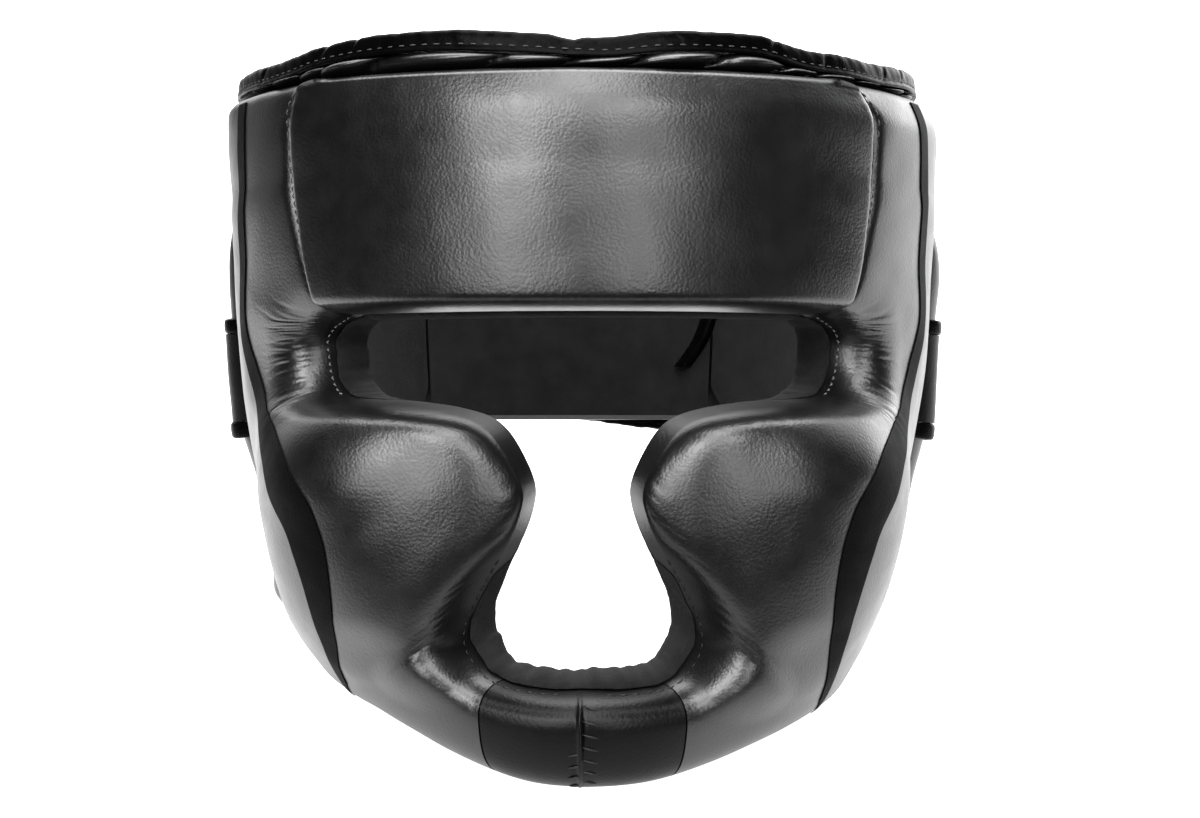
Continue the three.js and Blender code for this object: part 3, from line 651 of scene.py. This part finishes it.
def side_pad(side, name, seed):
    at, v = np.broadcast_arrays(side_rows()[:, None], crowded(SIDE_ACROSS))
    around, height, lift = side_skin(at, v, seed)
    return pad_mesh(name, around * side, height, lift, step=10)


for side_name, side in SIDES:
    cheek = side_pad(side, f"cheek_pad_{side_name}", SIDE_SEEDS[side_name])
    dress(cheek, "charcoal_leather", charcoal)
    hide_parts(f"side_pad_{side_name}")


# Stripes
# Matt black tape down each side pad, from the temple to the jaw. It is sewn flush into the pad's skin and
# follows its swell.
STRIPE_LINE = table(["height", "around", "width"], [
    [-100, 45.5, 8], [-77, 39, 9], [-58, 35.3, 10], [-47, 35, 10.5], [-34, 36, 11],
    [-26.6, 37.2, 11], [-17.6, 40.8, 10.5], [-11.7, 44, 10], [-5, 50.5, 9], [1.8, 58, 8],
    [10, 64, 7], [20, 67.4, 6.5], [53, 67, 6.5], [87, 64.6, 7], [104, 64.3, 7],
])
STRIPE_THICK = 0.35
STRIPE_LIFT = 0.12
STRIPE_FROM = 0.012
STRIPE_ENDS_AT = 0.79
STRIPE_LAST = 0.985
STRIPE_ROWS = 340
STRIPE_HALVINGS = 30
STRIPE_POINTS = 15
TAPE_TONES = ((0.001, 0.001, 0.0011), (0.0022, 0.0022, 0.0023))


def stripe_crossing(at):
    """Where the stripe's middle line crosses a section of the side pad, as a share of the section."""
    near, far = np.zeros_like(at), np.ones_like(at)
    for _ in range(STRIPE_HALVINGS):
        middle = (near + far) / 2
        around, height = side_place(at, middle)
        before = around < along(STRIPE_LINE, "around", height)
        near, far = np.where(before, middle, near), np.where(before, far, middle)
    return (near + far) / 2


def stripe(side, name, seed):
    at = np.linspace(STRIPE_FROM, STRIPE_ENDS_AT, STRIPE_ROWS)[:, None]
    crossing = stripe_crossing(at)
    width = along(STRIPE_LINE, "width", side_place(at, crossing)[1])
    v = crossing + np.linspace(-0.5, 0.5, STRIPE_POINTS) * width / side_span(at)
    at, v = np.broadcast_arrays(at, np.minimum(v, STRIPE_LAST))
    around, height, under = side_skin(at, v, seed)
    outside = on_head(around * side, height, under + STRIPE_LIFT + STRIPE_THICK)
    inside = on_head(around * side, height, under + STRIPE_LIFT)
    return sewn_mesh(name, outside, inside)


matt_black = leather("matt_black_tape", TAPE_TONES, (0.55, 0.65), relief=0.25, reflection=0.04, pebble=0.8)
for side_name, side in SIDES:
    tape = dress(stripe(side, f"side_stripe_{side_name}", SIDE_SEEDS[side_name]), "black_leather", matt_black)
    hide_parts(f"stripe_{side_name}")


# Chin panel
# Two black leather panels that carry the side pads' skin on to the middle of the chin, where they meet in a
# hand-sewn seam: a raised edge laced over with thread.
CHIN_SEAM = (23, 1.5, CROWN_SHARE)
CHIN_LIP = {"left": 0.9, "right": 0}
CHIN_LIP_AT = 0.7
CHIN_LIP_WIDTH = 0.5
CHIN_ROWS = 91
CHIN_CROWDING = 1.8
BLACK_TONES = ((0.002, 0.002, 0.0021), (0.0035, 0.0035, 0.0037))


def chin_panel(side, side_name, name, seed):
    share = 1 - (1 - np.linspace(0, 1, CHIN_ROWS)) ** CHIN_CROWDING
    at = (CHIN_FROM + (CHIN_TO - CHIN_FROM) * share)[:, None]
    at, v = np.broadcast_arrays(at, crowded(SIDE_ACROSS))
    around, height, skin = side_skin(at, v, seed)
    feet = head_point(around, height)
    from_seam = distance_to(feet[-1], feet)
    seam = rolled(skin, (from_seam, *CHIN_SEAM))
    lip = CHIN_LIP[side_name] * np.exp(-((from_seam - CHIN_LIP_AT) / CHIN_LIP_WIDTH) ** 2)
    return pad_mesh(name, around * side, height, np.minimum(skin, seam) + lip, step=10)


black = leather("black_leather", BLACK_TONES, gloss=(0.3, 0.38), relief=0.22, reflection=0.2)
for side_name, side in SIDES:
    chin = chin_panel(side, side_name, f"chin_leather_{side_name}", SIDE_SEEDS[side_name])
    dress(chin, "black_leather", black)
    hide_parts(f"chin_panel_{side_name}")


# Seam stitches
# Polyester thread: grey down the brow seams, lighter grey round the ends of the eye slot, and black round the
# mouth and down the middle of the chin, where it laces the two panels together.
THREAD_SIDES = 6
THREAD_RINGS = 7
SEAM_ROWS = table(["from_at", "to_at", "inset", "pitch", "length", "thick"], [
    [0.02, 0.345, 1.5, 3.2, 2.1, 0.5],
    [0.366, 0.495, 0.05, 2.3, 1.2, 0.55],
    [0.81, 1.08, 0.1, 3.1, 2, 0.6],
])
LACING_PITCH = 3.8
LACING_REACH = 2.6
LACING_THICK = 0.7
LACING_FIRST = {"left": 0.5, "right": 0.06}
LACING_LAST = 0.97
LACING_SLANT = 0.04
LACING_STRETCH = 1.6


def threads(name, paths, ups, thick):
    """One mesh of separate stitches, each along its own path, with its two ends down in the skin."""
    tangent = np.gradient(paths, axis=1)
    tangent /= np.linalg.norm(tangent, axis=-1, keepdims=True)
    beside = np.cross(tangent, ups)
    beside /= np.linalg.norm(beside, axis=-1, keepdims=True)
    upward = np.cross(beside, tangent)
    arch = np.sin(np.linspace(0, np.pi, paths.shape[1]))
    middle = paths + upward * (thick * (0.75 * arch - 0.4))[:, None]
    radius = (thick / 2 * (0.6 + 0.4 * arch))[:, None, None]
    turn = np.linspace(0, 2 * np.pi, THREAD_SIDES + 1)[:-1][:, None]
    round_it = np.cos(turn) * beside[:, :, None] + np.sin(turn) * upward[:, :, None]
    rings = middle[:, :, None] + radius * round_it
    index = np.arange(rings[..., 0].size).reshape(rings.shape[:3])
    here, following = index[:, :-1], index[:, 1:]
    quads = np.stack([here, following, np.roll(following, -1, 2), np.roll(here, -1, 2)], axis=-1)
    faces = quads.reshape(-1, 4).tolist() + index[:, 0].tolist() + index[:, -1, ::-1].tolist()
    return new_piece(name, to_rest(rings.reshape(-1, 3)) * MM, faces)


def on_skin(at, v, side, seed):
    """Points on the side skin and the directions outwards there."""
    around, height, lift = side_skin(at, v, seed)
    return on_head(around * side, height, lift), head_normal(around * side, height)


def seam_stitches(name, row, side, seed):
    from_at, to_at, inset, pitch, length, thick = (SEAM_ROWS[column][row] for column in SEAM_ROWS)
    middles = np.arange(front_run(from_at), front_run(to_at), pitch)[:, None]
    run = middles + length * np.linspace(-0.5, 0.5, THREAD_RINGS)
    at = np.interp(run, FRONT_RUN, FRONT_AT)
    return threads(name, *on_skin(at, inset / side_span(at), side, seed), thick)


def chin_lacing(name, side, first):
    """Bars across the chin's seam, each from its middle out on to one panel."""
    v = np.arange(first, LACING_LAST, LACING_PITCH / side_span(CHIN_TO))[:, None]
    out = np.linspace(0, LACING_REACH / front_run(CHIN_TO), THREAD_RINGS)
    slanted = v + LACING_SLANT * np.linspace(0, 1, THREAD_RINGS)
    at, v = np.broadcast_arrays(CHIN_TO - out * LACING_STRETCH, slanted)
    return threads(name, *on_skin(at, v, side, SIDE_SEEDS["right"]), LACING_THICK)


def thread_finish(name, *tones):
    """Twisted thread: fine slanting bands of tone."""
    material, shader, place = new_finish(name)
    twist = node(material, "TexWave", {"bands_direction": "DIAGONAL"}, Vector=place, Scale=0.5 / (0.4 * MM),
                 Distortion=1)
    feed(material, shader, Base_Color=blended(material, twist.outputs["Fac"], *tones), Roughness=0.6)
    return material


grey_thread = thread_finish("grey_thread", (0.03, 0.03, 0.031), (0.09, 0.09, 0.092))
pale_thread = thread_finish("pale_thread", (0.12, 0.12, 0.118), (0.3, 0.3, 0.295))
black_thread = thread_finish("black_thread", (0.0015, 0.0015, 0.0016), (0.006, 0.006, 0.0062))
seam_threads = {"brow": grey_thread, "eye": pale_thread, "mouth": black_thread}
for side_name, side in SIDES:
    for row, (place_name, thread) in enumerate(seam_threads.items()):
        stitches = seam_stitches(f"{place_name}_stitches_{side_name}", row, side, SIDE_SEEDS[side_name])
        dress(stitches, "black_binding", thread)
    lacing = chin_lacing(f"chin_lacing_{side_name}", side, LACING_FIRST[side_name])
    dress(lacing, "black_binding", black_thread)


# Ear pads
# Thick pads behind the side pads, over the ears, that end in a soft lobe behind the jaw. The left lobe is
# gathered in ribs. They are leather outside and suede inside.
EAR_PLACES = ["front_around", "front_height", "rear_drop", "rear_height"]
EAR_SECTIONS = table(["at", *EAR_PLACES, "swell_left", "swell_right"], [
    [0.00, 97.8, 102.8, 0, 102.8, 0.42, 0.42],
    [0.08, 97.8, 88, 0, 88, 0.72, 0.7],
    [0.17, 97.8, 72, 0, 73, 0.86, 0.84],
    [0.26, 97.8, 55, 0, 57, 0.95, 0.97],
    [0.40, 97.8, 30, 0, 34, 0.96, 0.98],
    [0.56, 97.6, 0, 0, 8, 0.95, 0.97],
    [0.65, 97, -18, 0.3, -8, 0.84, 0.88],
    [0.74, 96.2, -36, 0.6, -26, 0.84, 0.84],
    [0.82, 95.2, -52, 0.8, -44, 0.9, 0.64],
    [0.91, 93.6, -68, 0.92, -61, 0.82, 0.46],
    [1.00, 90.6, -84.5, 1, -83, 0.7, 0.48],
])
REAR_PADS = table(["around", "depth"], [
    [92, 36], [105, 38.5], [115, 36.5], [128, 29.5], [142, 21], [160, 16], [180, 15],
])
EAR_REAR = {"left": 141, "right": 149}
EAR_REAR_LOW = 124
EAR_ROLL = 9
EAR_END_ROLL = 13
STRAP_LINE = table(["around", "lower"], [
    [98, -1.5], [150, -0.5], [168, 0], [180, 3], [200, 4.5], [240, 1.5], [262, -1.5],
])
STRAP_WIDTH = 28.5
STRAP_PRESS = 2.2
STRAP_SHOULDER = 5
LOBE_RIBS = {"left": 3, "right": 0}
LOBE_RIB_DEPTH = 1.6
LOBE_RIBS_FROM = 0.76
EAR_ROWS = 200
EAR_POINTS = 90
REAR_TONES = ((0.004, 0.004, 0.0042), (0.014, 0.014, 0.0145))


def rear_depth(around):
    around = np.abs(around)
    return along(REAR_PADS, "depth", np.where(around > 180, 360 - around, around))


def strap_press(around, height):
    """How deep the closing strap is pressed into the rear pads at a place."""
    around = np.where(around < 0, around + 360, around)
    lower = along(STRAP_LINE, "lower", np.clip(around, 98, 262))
    inside = np.minimum(height - lower, lower + STRAP_WIDTH - height)
    return STRAP_PRESS * eased(inside / STRAP_SHOULDER + 1)


def ear_place(at, v, rear):
    front, front_height, drop, rear_height = (along(EAR_SECTIONS, name, at) for name in EAR_PLACES)
    rear_around = rear + (EAR_REAR_LOW - rear) * np.maximum(drop, 0)
    return front * (1 - v) + rear_around * v, front_height * (1 - v) + rear_height * v


def ear_pad(side, side_name, name):
    rear = EAR_REAR[side_name]
    at, v = np.broadcast_arrays(crowded(EAR_ROWS)[:, None], crowded(EAR_POINTS))
    around, height = ear_place(at, v, rear)
    feet = head_point(around, height)
    from_side = nearer(feet[:, 0], feet[:, -1], feet)
    from_end = nearer(feet[0], feet[-1], feet)
    phase = np.clip((at - LOBE_RIBS_FROM) / (1 - LOBE_RIBS_FROM), 0, 1) * LOBE_RIBS[side_name]
    rib = -LOBE_RIB_DEPTH * np.sin(np.pi * phase) ** 2
    full = rear_depth(around) * along(EAR_SECTIONS, "swell_" + side_name, at) + rib
    full = full + lumps(feet, LEATHER_WAVES, seed=61 + side) - strap_press(around * side, height)
    lift = REAR_LIFT + (full - REAR_LIFT) * rise(from_side, EAR_ROLL) * rise(from_end, EAR_END_ROLL)
    return pad_mesh(name, around * side, height, lift, step=6, inner=-LINING_THICK)


rear_suede = suede("rear_suede", REAR_TONES)
for side_name, side in SIDES:
    ear = ear_pad(side, side_name, f"ear_leather_{side_name}")
    dress(ear, "charcoal_leather", charcoal, rear_suede)
    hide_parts(f"ear_pad_{side_name}")


# Back panel
# A thinner pad across the back of the head, leather outside and suede inside. Its edges roll down into the
# seams that join it to the ear pads.
BACK_BOTTOM = -3
BACK_TOP = 102.8
BACK_ROLL = 8
SEAM_AROUND = 0.7
BACK_POINTS = 120


def back_panel(name):
    right, left = EAR_REAR["right"] + SEAM_AROUND, 360 - EAR_REAR["left"] - SEAM_AROUND
    height = (BACK_BOTTOM + (BACK_TOP - BACK_BOTTOM) * crowded(BACK_POINTS))[:, None]
    around = right + (left - right) * crowded(BACK_POINTS)
    feet = head_point(around, height)
    from_side = nearer(feet[:, 0], feet[:, -1], feet)
    from_end = nearer(feet[0], feet[-1], feet)
    full = rear_depth(around) + lumps(feet, LEATHER_WAVES, seed=71) - strap_press(around, height)
    lift = TOP_LIFT + (full - TOP_LIFT) * rise(from_side, BACK_ROLL) * rise(from_end, BACK_ROLL)
    return pad_mesh(name, around, height, lift, step=6, inner=-LINING_THICK)


nape = dress(back_panel("back_leather"), "charcoal_leather", charcoal, rear_suede)
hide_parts("back_panel")


# Crown band
# A gathered roll of the same leather between the pads' top edges and the binding: it stands out in puffs of
# uneven width, with fine creases in the valleys between them.
CROWN_BOTTOM = 102.9
CROWN_TOP = 107.2
CROWN_FOOT = 2.2
CROWN_LIFT = 4.6
CROWN_PUFF = 8.2
FOLD_SLANT = 4
FRONT_FOLDS = (-58, -50, -43.5, -34.5, -14, -3, 7, 19, 31, 38, 47, 57)
PUFF_WIDTHS = (10, 19)
PUFF_TALL = (0.7, 1.05)
PUFF_LEAN = (0.6, 1.5)
PUFF_DRAWS = 30
CROWN_ROWS = 1680
CROWN_POINTS = 23
QUIET_SHARE = 0.5
QUIET_FROM = 45
QUIET_OVER = 30
VALLEY_FADE = 3
VALLEY_CREASES = ((151, 0.3, 0), (97, 0.2, 2))
RIM_WAVE = table(["around", "raise"], [
    [-180, 0], [-130, -2], [-90, -4], [-70, -3.7], [-56, -3.4], [-50, -2.6], [-44, -1.1],
    [-36, 0.2], [-26, 1], [-17, 0.8], [-8, -0.3], [0, -1.4], [5, -1.6], [12, 0],
    [22, 0.6], [28, 0.4], [37, -2.4], [46, -2.9], [56, -3.6], [70, -2.7], [90, -2.9],
    [130, -1.5], [180, 0],
])


def rim_wave(around):
    return along(RIM_WAVE, "raise", (np.asarray(around) + 180) % 360 - 180)


def crown_band(name):
    end = FRONT_FOLDS[0] + 360
    around = np.linspace(FRONT_FOLDS[0], end, CROWN_ROWS + 1)[:-1, None]
    draw = np.random.default_rng(seed=81)
    rear = FRONT_FOLDS[-1] + np.cumsum(draw.uniform(*PUFF_WIDTHS, PUFF_DRAWS))
    folds = np.concatenate([FRONT_FOLDS, rear[rear < end - PUFF_WIDTHS[0]], [end]])
    turn = np.linspace(0, np.pi, CROWN_POINTS)
    share = (1 - np.cos(turn)) / 2
    leant = FRONT_FOLDS[0] + (around - FOLD_SLANT * share - FRONT_FOLDS[0]) % 360
    k = np.clip(np.searchsorted(folds, leant, side="right") - 1, 0, len(folds) - 2)
    part = np.clip((leant - folds[k]) / (folds[k + 1] - folds[k]), 0, 1)
    tall = draw.uniform(*PUFF_TALL, len(folds))[k]
    lean = draw.uniform(*PUFF_LEAN, len(folds))[k]
    wave = tall * np.sin(np.pi * part**lean) ** 0.5
    bulge = np.sin(turn) ** 0.7
    quiet = 1 - QUIET_SHARE * eased((np.abs((around + 180) % 360 - 180) - QUIET_FROM) / QUIET_OVER)
    out = CROWN_FOOT + quiet * (CROWN_LIFT - CROWN_FOOT + CROWN_PUFF * wave) * bulge
    gather = sum(depth * np.sin(np.radians(around * count) + start) for count, depth, start in VALLEY_CREASES)
    out = out + gather * (1 - eased(part * VALLEY_FADE)) * bulge
    height = CROWN_BOTTOM + (CROWN_TOP + rim_wave(around) - CROWN_BOTTOM) * share
    inside = on_head(around, height[:, [0, -1]], 0)
    return sewn_mesh(name, on_head(around, height, out), inside, looped=True)


crown = dress(crown_band("crown_gathers"), "charcoal_leather", charcoal)
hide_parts("crown_band")


# Rim binding
# Glossy black tape folded over the rim of the open top and sewn through near its lower edge. It puckers all
# the way round and is pinched where its two ends meet at the middle of the front.
BINDING_BOTTOM = 107.3
BINDING_HEIGHT = 6.3
BINDING_INNER = -6
BINDING_OUTER = 4.8
BINDING_LIP = 0.5
PINCH_DEPTH = 1.2
PINCH_HALF_AROUND = 6
PINCH_RUCK = 0.45
PINCH_RUCK_COUNT = 55
BINDING_ROWS = 1500
BINDING_POINTS = 40
LIP_AT = 0.1
LIP_WIDTH = 0.08
RUCK_RAISE = 0.8
TAPE_SWAY = 12
TAPE_SWAY_COUNT = 4
TAPE_PUCKERS = ((23, 0.1, 0.5), (53, 0.07, 0.8), (131, 0.05, 1.1))
TAPE_NICKS = (-61, -43, -36.5, 30, 41, 58, 66)
NICK_WIDTH = 0.6
NICK_DEPTH = 0.5
NICK_SLANT = 1.5
TAPE_UPRIGHT = 0.5
TAPE_STITCH_PITCH = 1.9
TAPE_STITCH_LENGTH = 0.95
TAPE_STITCH_RAISE = 2
TAPE_STITCH_THICK = 0.38


def tape_upright(share):
    """What stands the tape's face upright on the flared rim: it comes further out towards its lower edge."""
    return TAPE_UPRIGHT * BINDING_HEIGHT * (1 - share)


def rim_binding(name):
    around = np.linspace(-180, 180, BINDING_ROWS + 1)[:-1, None]
    pinch = np.maximum(0, 1 - np.abs(around) / PINCH_HALF_AROUND) ** 1.5
    turn = np.pi * crowded(BINDING_POINTS)
    outer = np.cos(turn) > 0
    middle, half = (BINDING_OUTER + BINDING_INNER) / 2, (BINDING_OUTER - BINDING_INNER) / 2
    share = np.sin(turn) ** 0.5
    lift = middle + half * np.sign(np.cos(turn)) * np.abs(np.cos(turn)) ** 0.28
    draw = np.random.default_rng(seed=91)
    ruck = np.zeros((len(around), len(turn)))
    for count, depth, slant in TAPE_PUCKERS:
        sway = TAPE_SWAY * np.sin(np.radians(around * TAPE_SWAY_COUNT) + draw.uniform(0, 7))
        ruck += depth * np.sin(np.radians(around * count + sway) + slant * 4 * share + draw.uniform(0, 7))
    for nick in TAPE_NICKS:
        ruck -= NICK_DEPTH * np.exp(-((around - nick - NICK_SLANT * share) / NICK_WIDTH) ** 2)
    ruck = (ruck + PINCH_RUCK * pinch * np.sin(np.radians(around * PINCH_RUCK_COUNT))) * share
    lip = BINDING_LIP * np.exp(-((share - LIP_AT) / LIP_WIDTH) ** 2) * outer
    foot = BINDING_BOTTOM + rim_wave(around)
    height = foot + (BINDING_HEIGHT - PINCH_DEPTH * pinch) * share + RUCK_RAISE * ruck
    folded = lift + tape_upright(share) * outer
    outside = on_head(around, height, folded + lip + np.cos(turn) * ruck)
    return sewn_mesh(name, outside, on_head(around, foot, folded[[0, -1]]), looped=True)


def glossy_tape(name, tones):
    material, shader, place = new_finish(name)
    wrinkles = speckle(material, place, size=2.2, detail=4, Distortion=0.6)
    bump = node(material, "Bump", Strength=0.5, Distance=0.3 * MM, Height=wrinkles)
    patches = speckle(material, place, size=5, detail=3)
    feed(material, shader, Base_Color=blended(material, patches, *tones), Normal=bump.outputs["Normal"],
         Roughness=ranged(material, patches, 0.3, 0.7, 0.2, 0.34), Specular_IOR_Level=0.035)
    return material


def tape_stitches(name):
    middles = np.arange(-180, 180, TAPE_STITCH_PITCH)[:, None]
    around = middles + TAPE_STITCH_LENGTH * np.linspace(-0.5, 0.5, THREAD_RINGS)
    height = BINDING_BOTTOM + TAPE_STITCH_RAISE + rim_wave(around)
    lift = BINDING_OUTER + tape_upright(TAPE_STITCH_RAISE / BINDING_HEIGHT)
    return threads(name, on_head(around, height, lift), head_normal(around, height), TAPE_STITCH_THICK)


tape_black = glossy_tape("glossy_black_tape", TAPE_TONES)
rim = dress(rim_binding("rim_tape"), "black_binding", tape_black)
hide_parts("rim_binding")
dress(tape_stitches("rim_stitches"), "black_binding", grey_thread)


# Back strap
# A black leather closing strap round the back, from one ear pad's seam to the other, with a bound edge of
# glossy tape above and below.
STRAP_THICK = 2.5
STRAP_FROM = 98.2
STRAP_TO = 261.8
STRAP_LIFT = 0.4
EAR_FRONT = 97.7
EAR_ARC = 1.54
EDGE_HALF_HEIGHT = 2.4
EDGE_HALF_THICK = 1.7
EDGE_GAP = 0.2
EDGE_RUCK = 0.08
EDGE_RUCK_COUNTS = (97, 23)
EDGE_ROWS = 360
EDGE_POINTS = 24
STRAP_ROWS = 240
STRAP_POINTS = 41
STRAP_RIPPLE = 0.4
STRAP_WAVES = ((37, 0.5), (19, 0.3))


def strap_lift(around):
    """The strap lies on the rear pads and dips with their rolled front edges into the seams at its ends."""
    from_seam = EAR_ARC * (np.minimum(around, 360 - around) - EAR_FRONT)
    full = rear_depth(around) - STRAP_PRESS
    return rolled(full, (from_seam, REAR_LIFT, EAR_ROLL, CROWN_SHARE)) + STRAP_LIFT


def back_strap(name):
    around = (STRAP_FROM + (STRAP_TO - STRAP_FROM) * crowded(STRAP_ROWS))[:, None]
    height = along(STRAP_LINE, "lower", around) + STRAP_WIDTH * np.linspace(0, 1, STRAP_POINTS)
    ripple = STRAP_RIPPLE * lumps(head_point(around, height), STRAP_WAVES, seed=95)
    lift = strap_lift(around)
    outside = on_head(around, height, lift + STRAP_THICK + ripple)
    return sewn_mesh(name, outside, on_head(around, height[:, ::4], lift))


def strap_edge(name, offset):
    around = (STRAP_FROM + (STRAP_TO - STRAP_FROM) * crowded(EDGE_ROWS))[:, None]
    height = along(STRAP_LINE, "lower", around) + offset
    lift = strap_lift(around) + STRAP_THICK / 2
    turn = np.linspace(0, 2 * np.pi, EDGE_POINTS + 1)[:-1]
    fine, broad = (np.sin(np.radians(around * count)) for count in EDGE_RUCK_COUNTS)
    ruck = 1 + EDGE_RUCK * fine * broad
    flat, thick = (np.sign(wave) * np.abs(wave) ** 0.6 for wave in (np.sin(turn), np.cos(turn)))
    ring = on_head(around, height + EDGE_HALF_HEIGHT * flat * ruck, lift + EDGE_HALF_THICK * thick * ruck)
    half = EDGE_POINTS // 2
    return sewn_mesh(name, ring[:, :half], ring[:, half:][:, ::-1])


strap = dress(back_strap("closing_strap"), "black_leather", black)
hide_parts("back_strap")
beyond = EDGE_HALF_HEIGHT + EDGE_GAP
for edge_name, offset in (("upper", STRAP_WIDTH + beyond), ("lower", -beyond)):
    edge = dress(strap_edge(f"strap_tape_{edge_name}", offset), "black_binding", tape_black)
    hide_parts(f"strap_edge_{edge_name}")


# Flap binding
# A short end of tape inside, across the seam of the right ear pad and the back panel. It is the glossy tape
# of the rim and lies against the suede.
FLAP_LINE = table(["along", "around", "height"], [
    [0, 149, 37], [0.5, 152, 25], [1, 156.5, 15],
])
FLAP_HALF_AROUND = 2
FLAP_THICK = 2.4
FLAP_GAP = 0.4
FLAP_ROWS = 41
FLAP_POINTS = 17


def flap_binding(name):
    part = np.linspace(0, 1, FLAP_ROWS)[:, None]
    turn = np.linspace(0, np.pi, FLAP_POINTS)
    around = along(FLAP_LINE, "around", part) + FLAP_HALF_AROUND * np.cos(turn)
    height = along(FLAP_LINE, "height", part)
    inner = -LINING_THICK - FLAP_GAP
    outside = on_head(around, height, inner - FLAP_THICK * np.sin(turn) ** 0.6)
    return sewn_mesh(name, outside, on_head(around[:, [0, -1]], height, inner))


flap = dress(flap_binding("flap_tape"), "black_binding", tape_black)
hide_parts("flap_binding")


# Studio
# A white floor that glows behind the guard, dims to the left and lies in shade under it, a bright surround
# behind and above, two tall soft boxes beside the camera, and the camera at the photograph's angle.
FOCAL_LENGTH = 88.5
SENSOR_WIDTH = 36
PICTURE_WIDTH = 1200
PICTURE_MIDDLE_X = 583
EYE_DISTANCE = 1000
FLOOR_SIZE = 12
FLOOR_SEEN = 1
FLOOR_GLOW = 2.2
FLOOR_DARK = 0.03
GLOW_FROM_Y = -0.24
GLOW_FULL_Y = -0.06
LEFT_SHARE = 0.12
LEFT_FROM_X = -0.8
LEFT_CLEAR_X = -0.25
SHADE_MIDDLE_Y = -0.03
SHADE_INNER = 0.06
SHADE_OUTER = 0.12
SHADE_SHARE = 0.08
# Behind, behind to the right and left, above and over the camera; then each soft box's lower and upper part.
LIGHTS = table(["x", "y", "z", "start", "full", "strength"], [
    [0.2, 0.88, 0.43, 0.5, 0.85, 1.8],
    [0.643, 0.766, 0, 0.899, 0.985, 3],
    [-0.5, 0.866, 0, 0.788, 0.966, 0.3],
    [0, 0.35, 0.937, 0.8, 0.95, 5.5],
    [0, -0.36, 0.933, 0.955, 0.985, 8],
    [-0.428, -0.879, 0.208, 0.945, 0.992, 5],
    [-0.336, -0.689, 0.643, 0.945, 0.992, 10.5],
    [0.334, -0.919, 0.208, 0.962, 0.992, 4],
    [0.262, -0.72, 0.643, 0.962, 0.992, 7.6],
])

corners = FLOOR_SIZE / 2 * np.array([(-1, -1, 0), (1, -1, 0), (1, 1, 0), (-1, 1, 0)])
floor = new_piece("floor", corners, [(0, 1, 2, 3)])
white, white_shader, white_place = new_finish("white_floor")
feed(white, white_shader, Base_Color=(0.9, 0.9, 0.9, 1), Roughness=0.9, Specular_IOR_Level=0,
     Emission_Color=(1, 1, 1, 1), Emission_Strength=FLOOR_SEEN)
floor_place = node(white, "SeparateXYZ", Vector=white_place).outputs
glow = ranged(white, floor_place["Y"], GLOW_FROM_Y, GLOW_FULL_Y, FLOOR_DARK, FLOOR_GLOW, "SMOOTHSTEP")
dimming = ranged(white, floor_place["X"], LEFT_FROM_X, LEFT_CLEAR_X, LEFT_SHARE, 1, "SMOOTHSTEP")
dimmed = calculated(white, "Math", "MULTIPLY", glow, dimming)
from_middle = calculated(white, "VectorMath", "DISTANCE", white_place, (0, SHADE_MIDDLE_Y, 0))
shade = ranged(white, from_middle, SHADE_INNER, SHADE_OUTER, SHADE_SHARE, 1, "SMOOTHSTEP")
bounce = node(white, "Emission", Strength=calculated(white, "Math", "MULTIPLY", dimmed, shade))
choice = node(white, "MixShader")
choices = (node(white, "LightPath").outputs["Is Camera Ray"], bounce.outputs[0], white_shader.outputs[0])
for socket, value in zip(choice.inputs, choices):
    connect(white, socket, value)
feed(white, white.node_tree.nodes["Material Output"], Surface=choice.outputs[0])
floor.data.materials.append(white)

world = bpy.data.worlds.new("studio")
bpy.context.scene.world = world
world.use_nodes = True
toward = node(world, "TexCoord").outputs["Generated"]
surround = 0
for x, y, z, start, full, strength in zip(*LIGHTS.values()):
    facing = calculated(world, "VectorMath", "DOT_PRODUCT", toward, (x, y, z))
    light = ranged(world, facing, start, full, 0, strength, "SMOOTHSTEP")
    surround = calculated(world, "Math", "ADD", surround, light)
seen = node(world, "LightPath").outputs["Is Camera Ray"]
shown = calculated(world, "Math", "MAXIMUM", surround, seen)
feed(world, world.node_tree.nodes["Background"], Color=(1, 1, 1, 1), Strength=shown)
bpy.context.scene.view_settings.view_transform = "Standard"

lean = np.radians(REST_TILT)
camera_data = bpy.data.cameras.new("camera")
camera_data.lens = FOCAL_LENGTH
camera_data.sensor_width = SENSOR_WIDTH
camera_data.shift_x = 0.5 - PICTURE_MIDDLE_X / PICTURE_WIDTH
camera = bpy.data.objects.new("camera", camera_data)
camera.location = (to_rest(np.array([0, -EYE_DISTANCE, 0])) * MM).tolist()
camera.rotation_euler = (np.pi / 2 - lean, 0, 0)
bpy.context.scene.collection.objects.link(camera)
bpy.context.scene.camera = camera
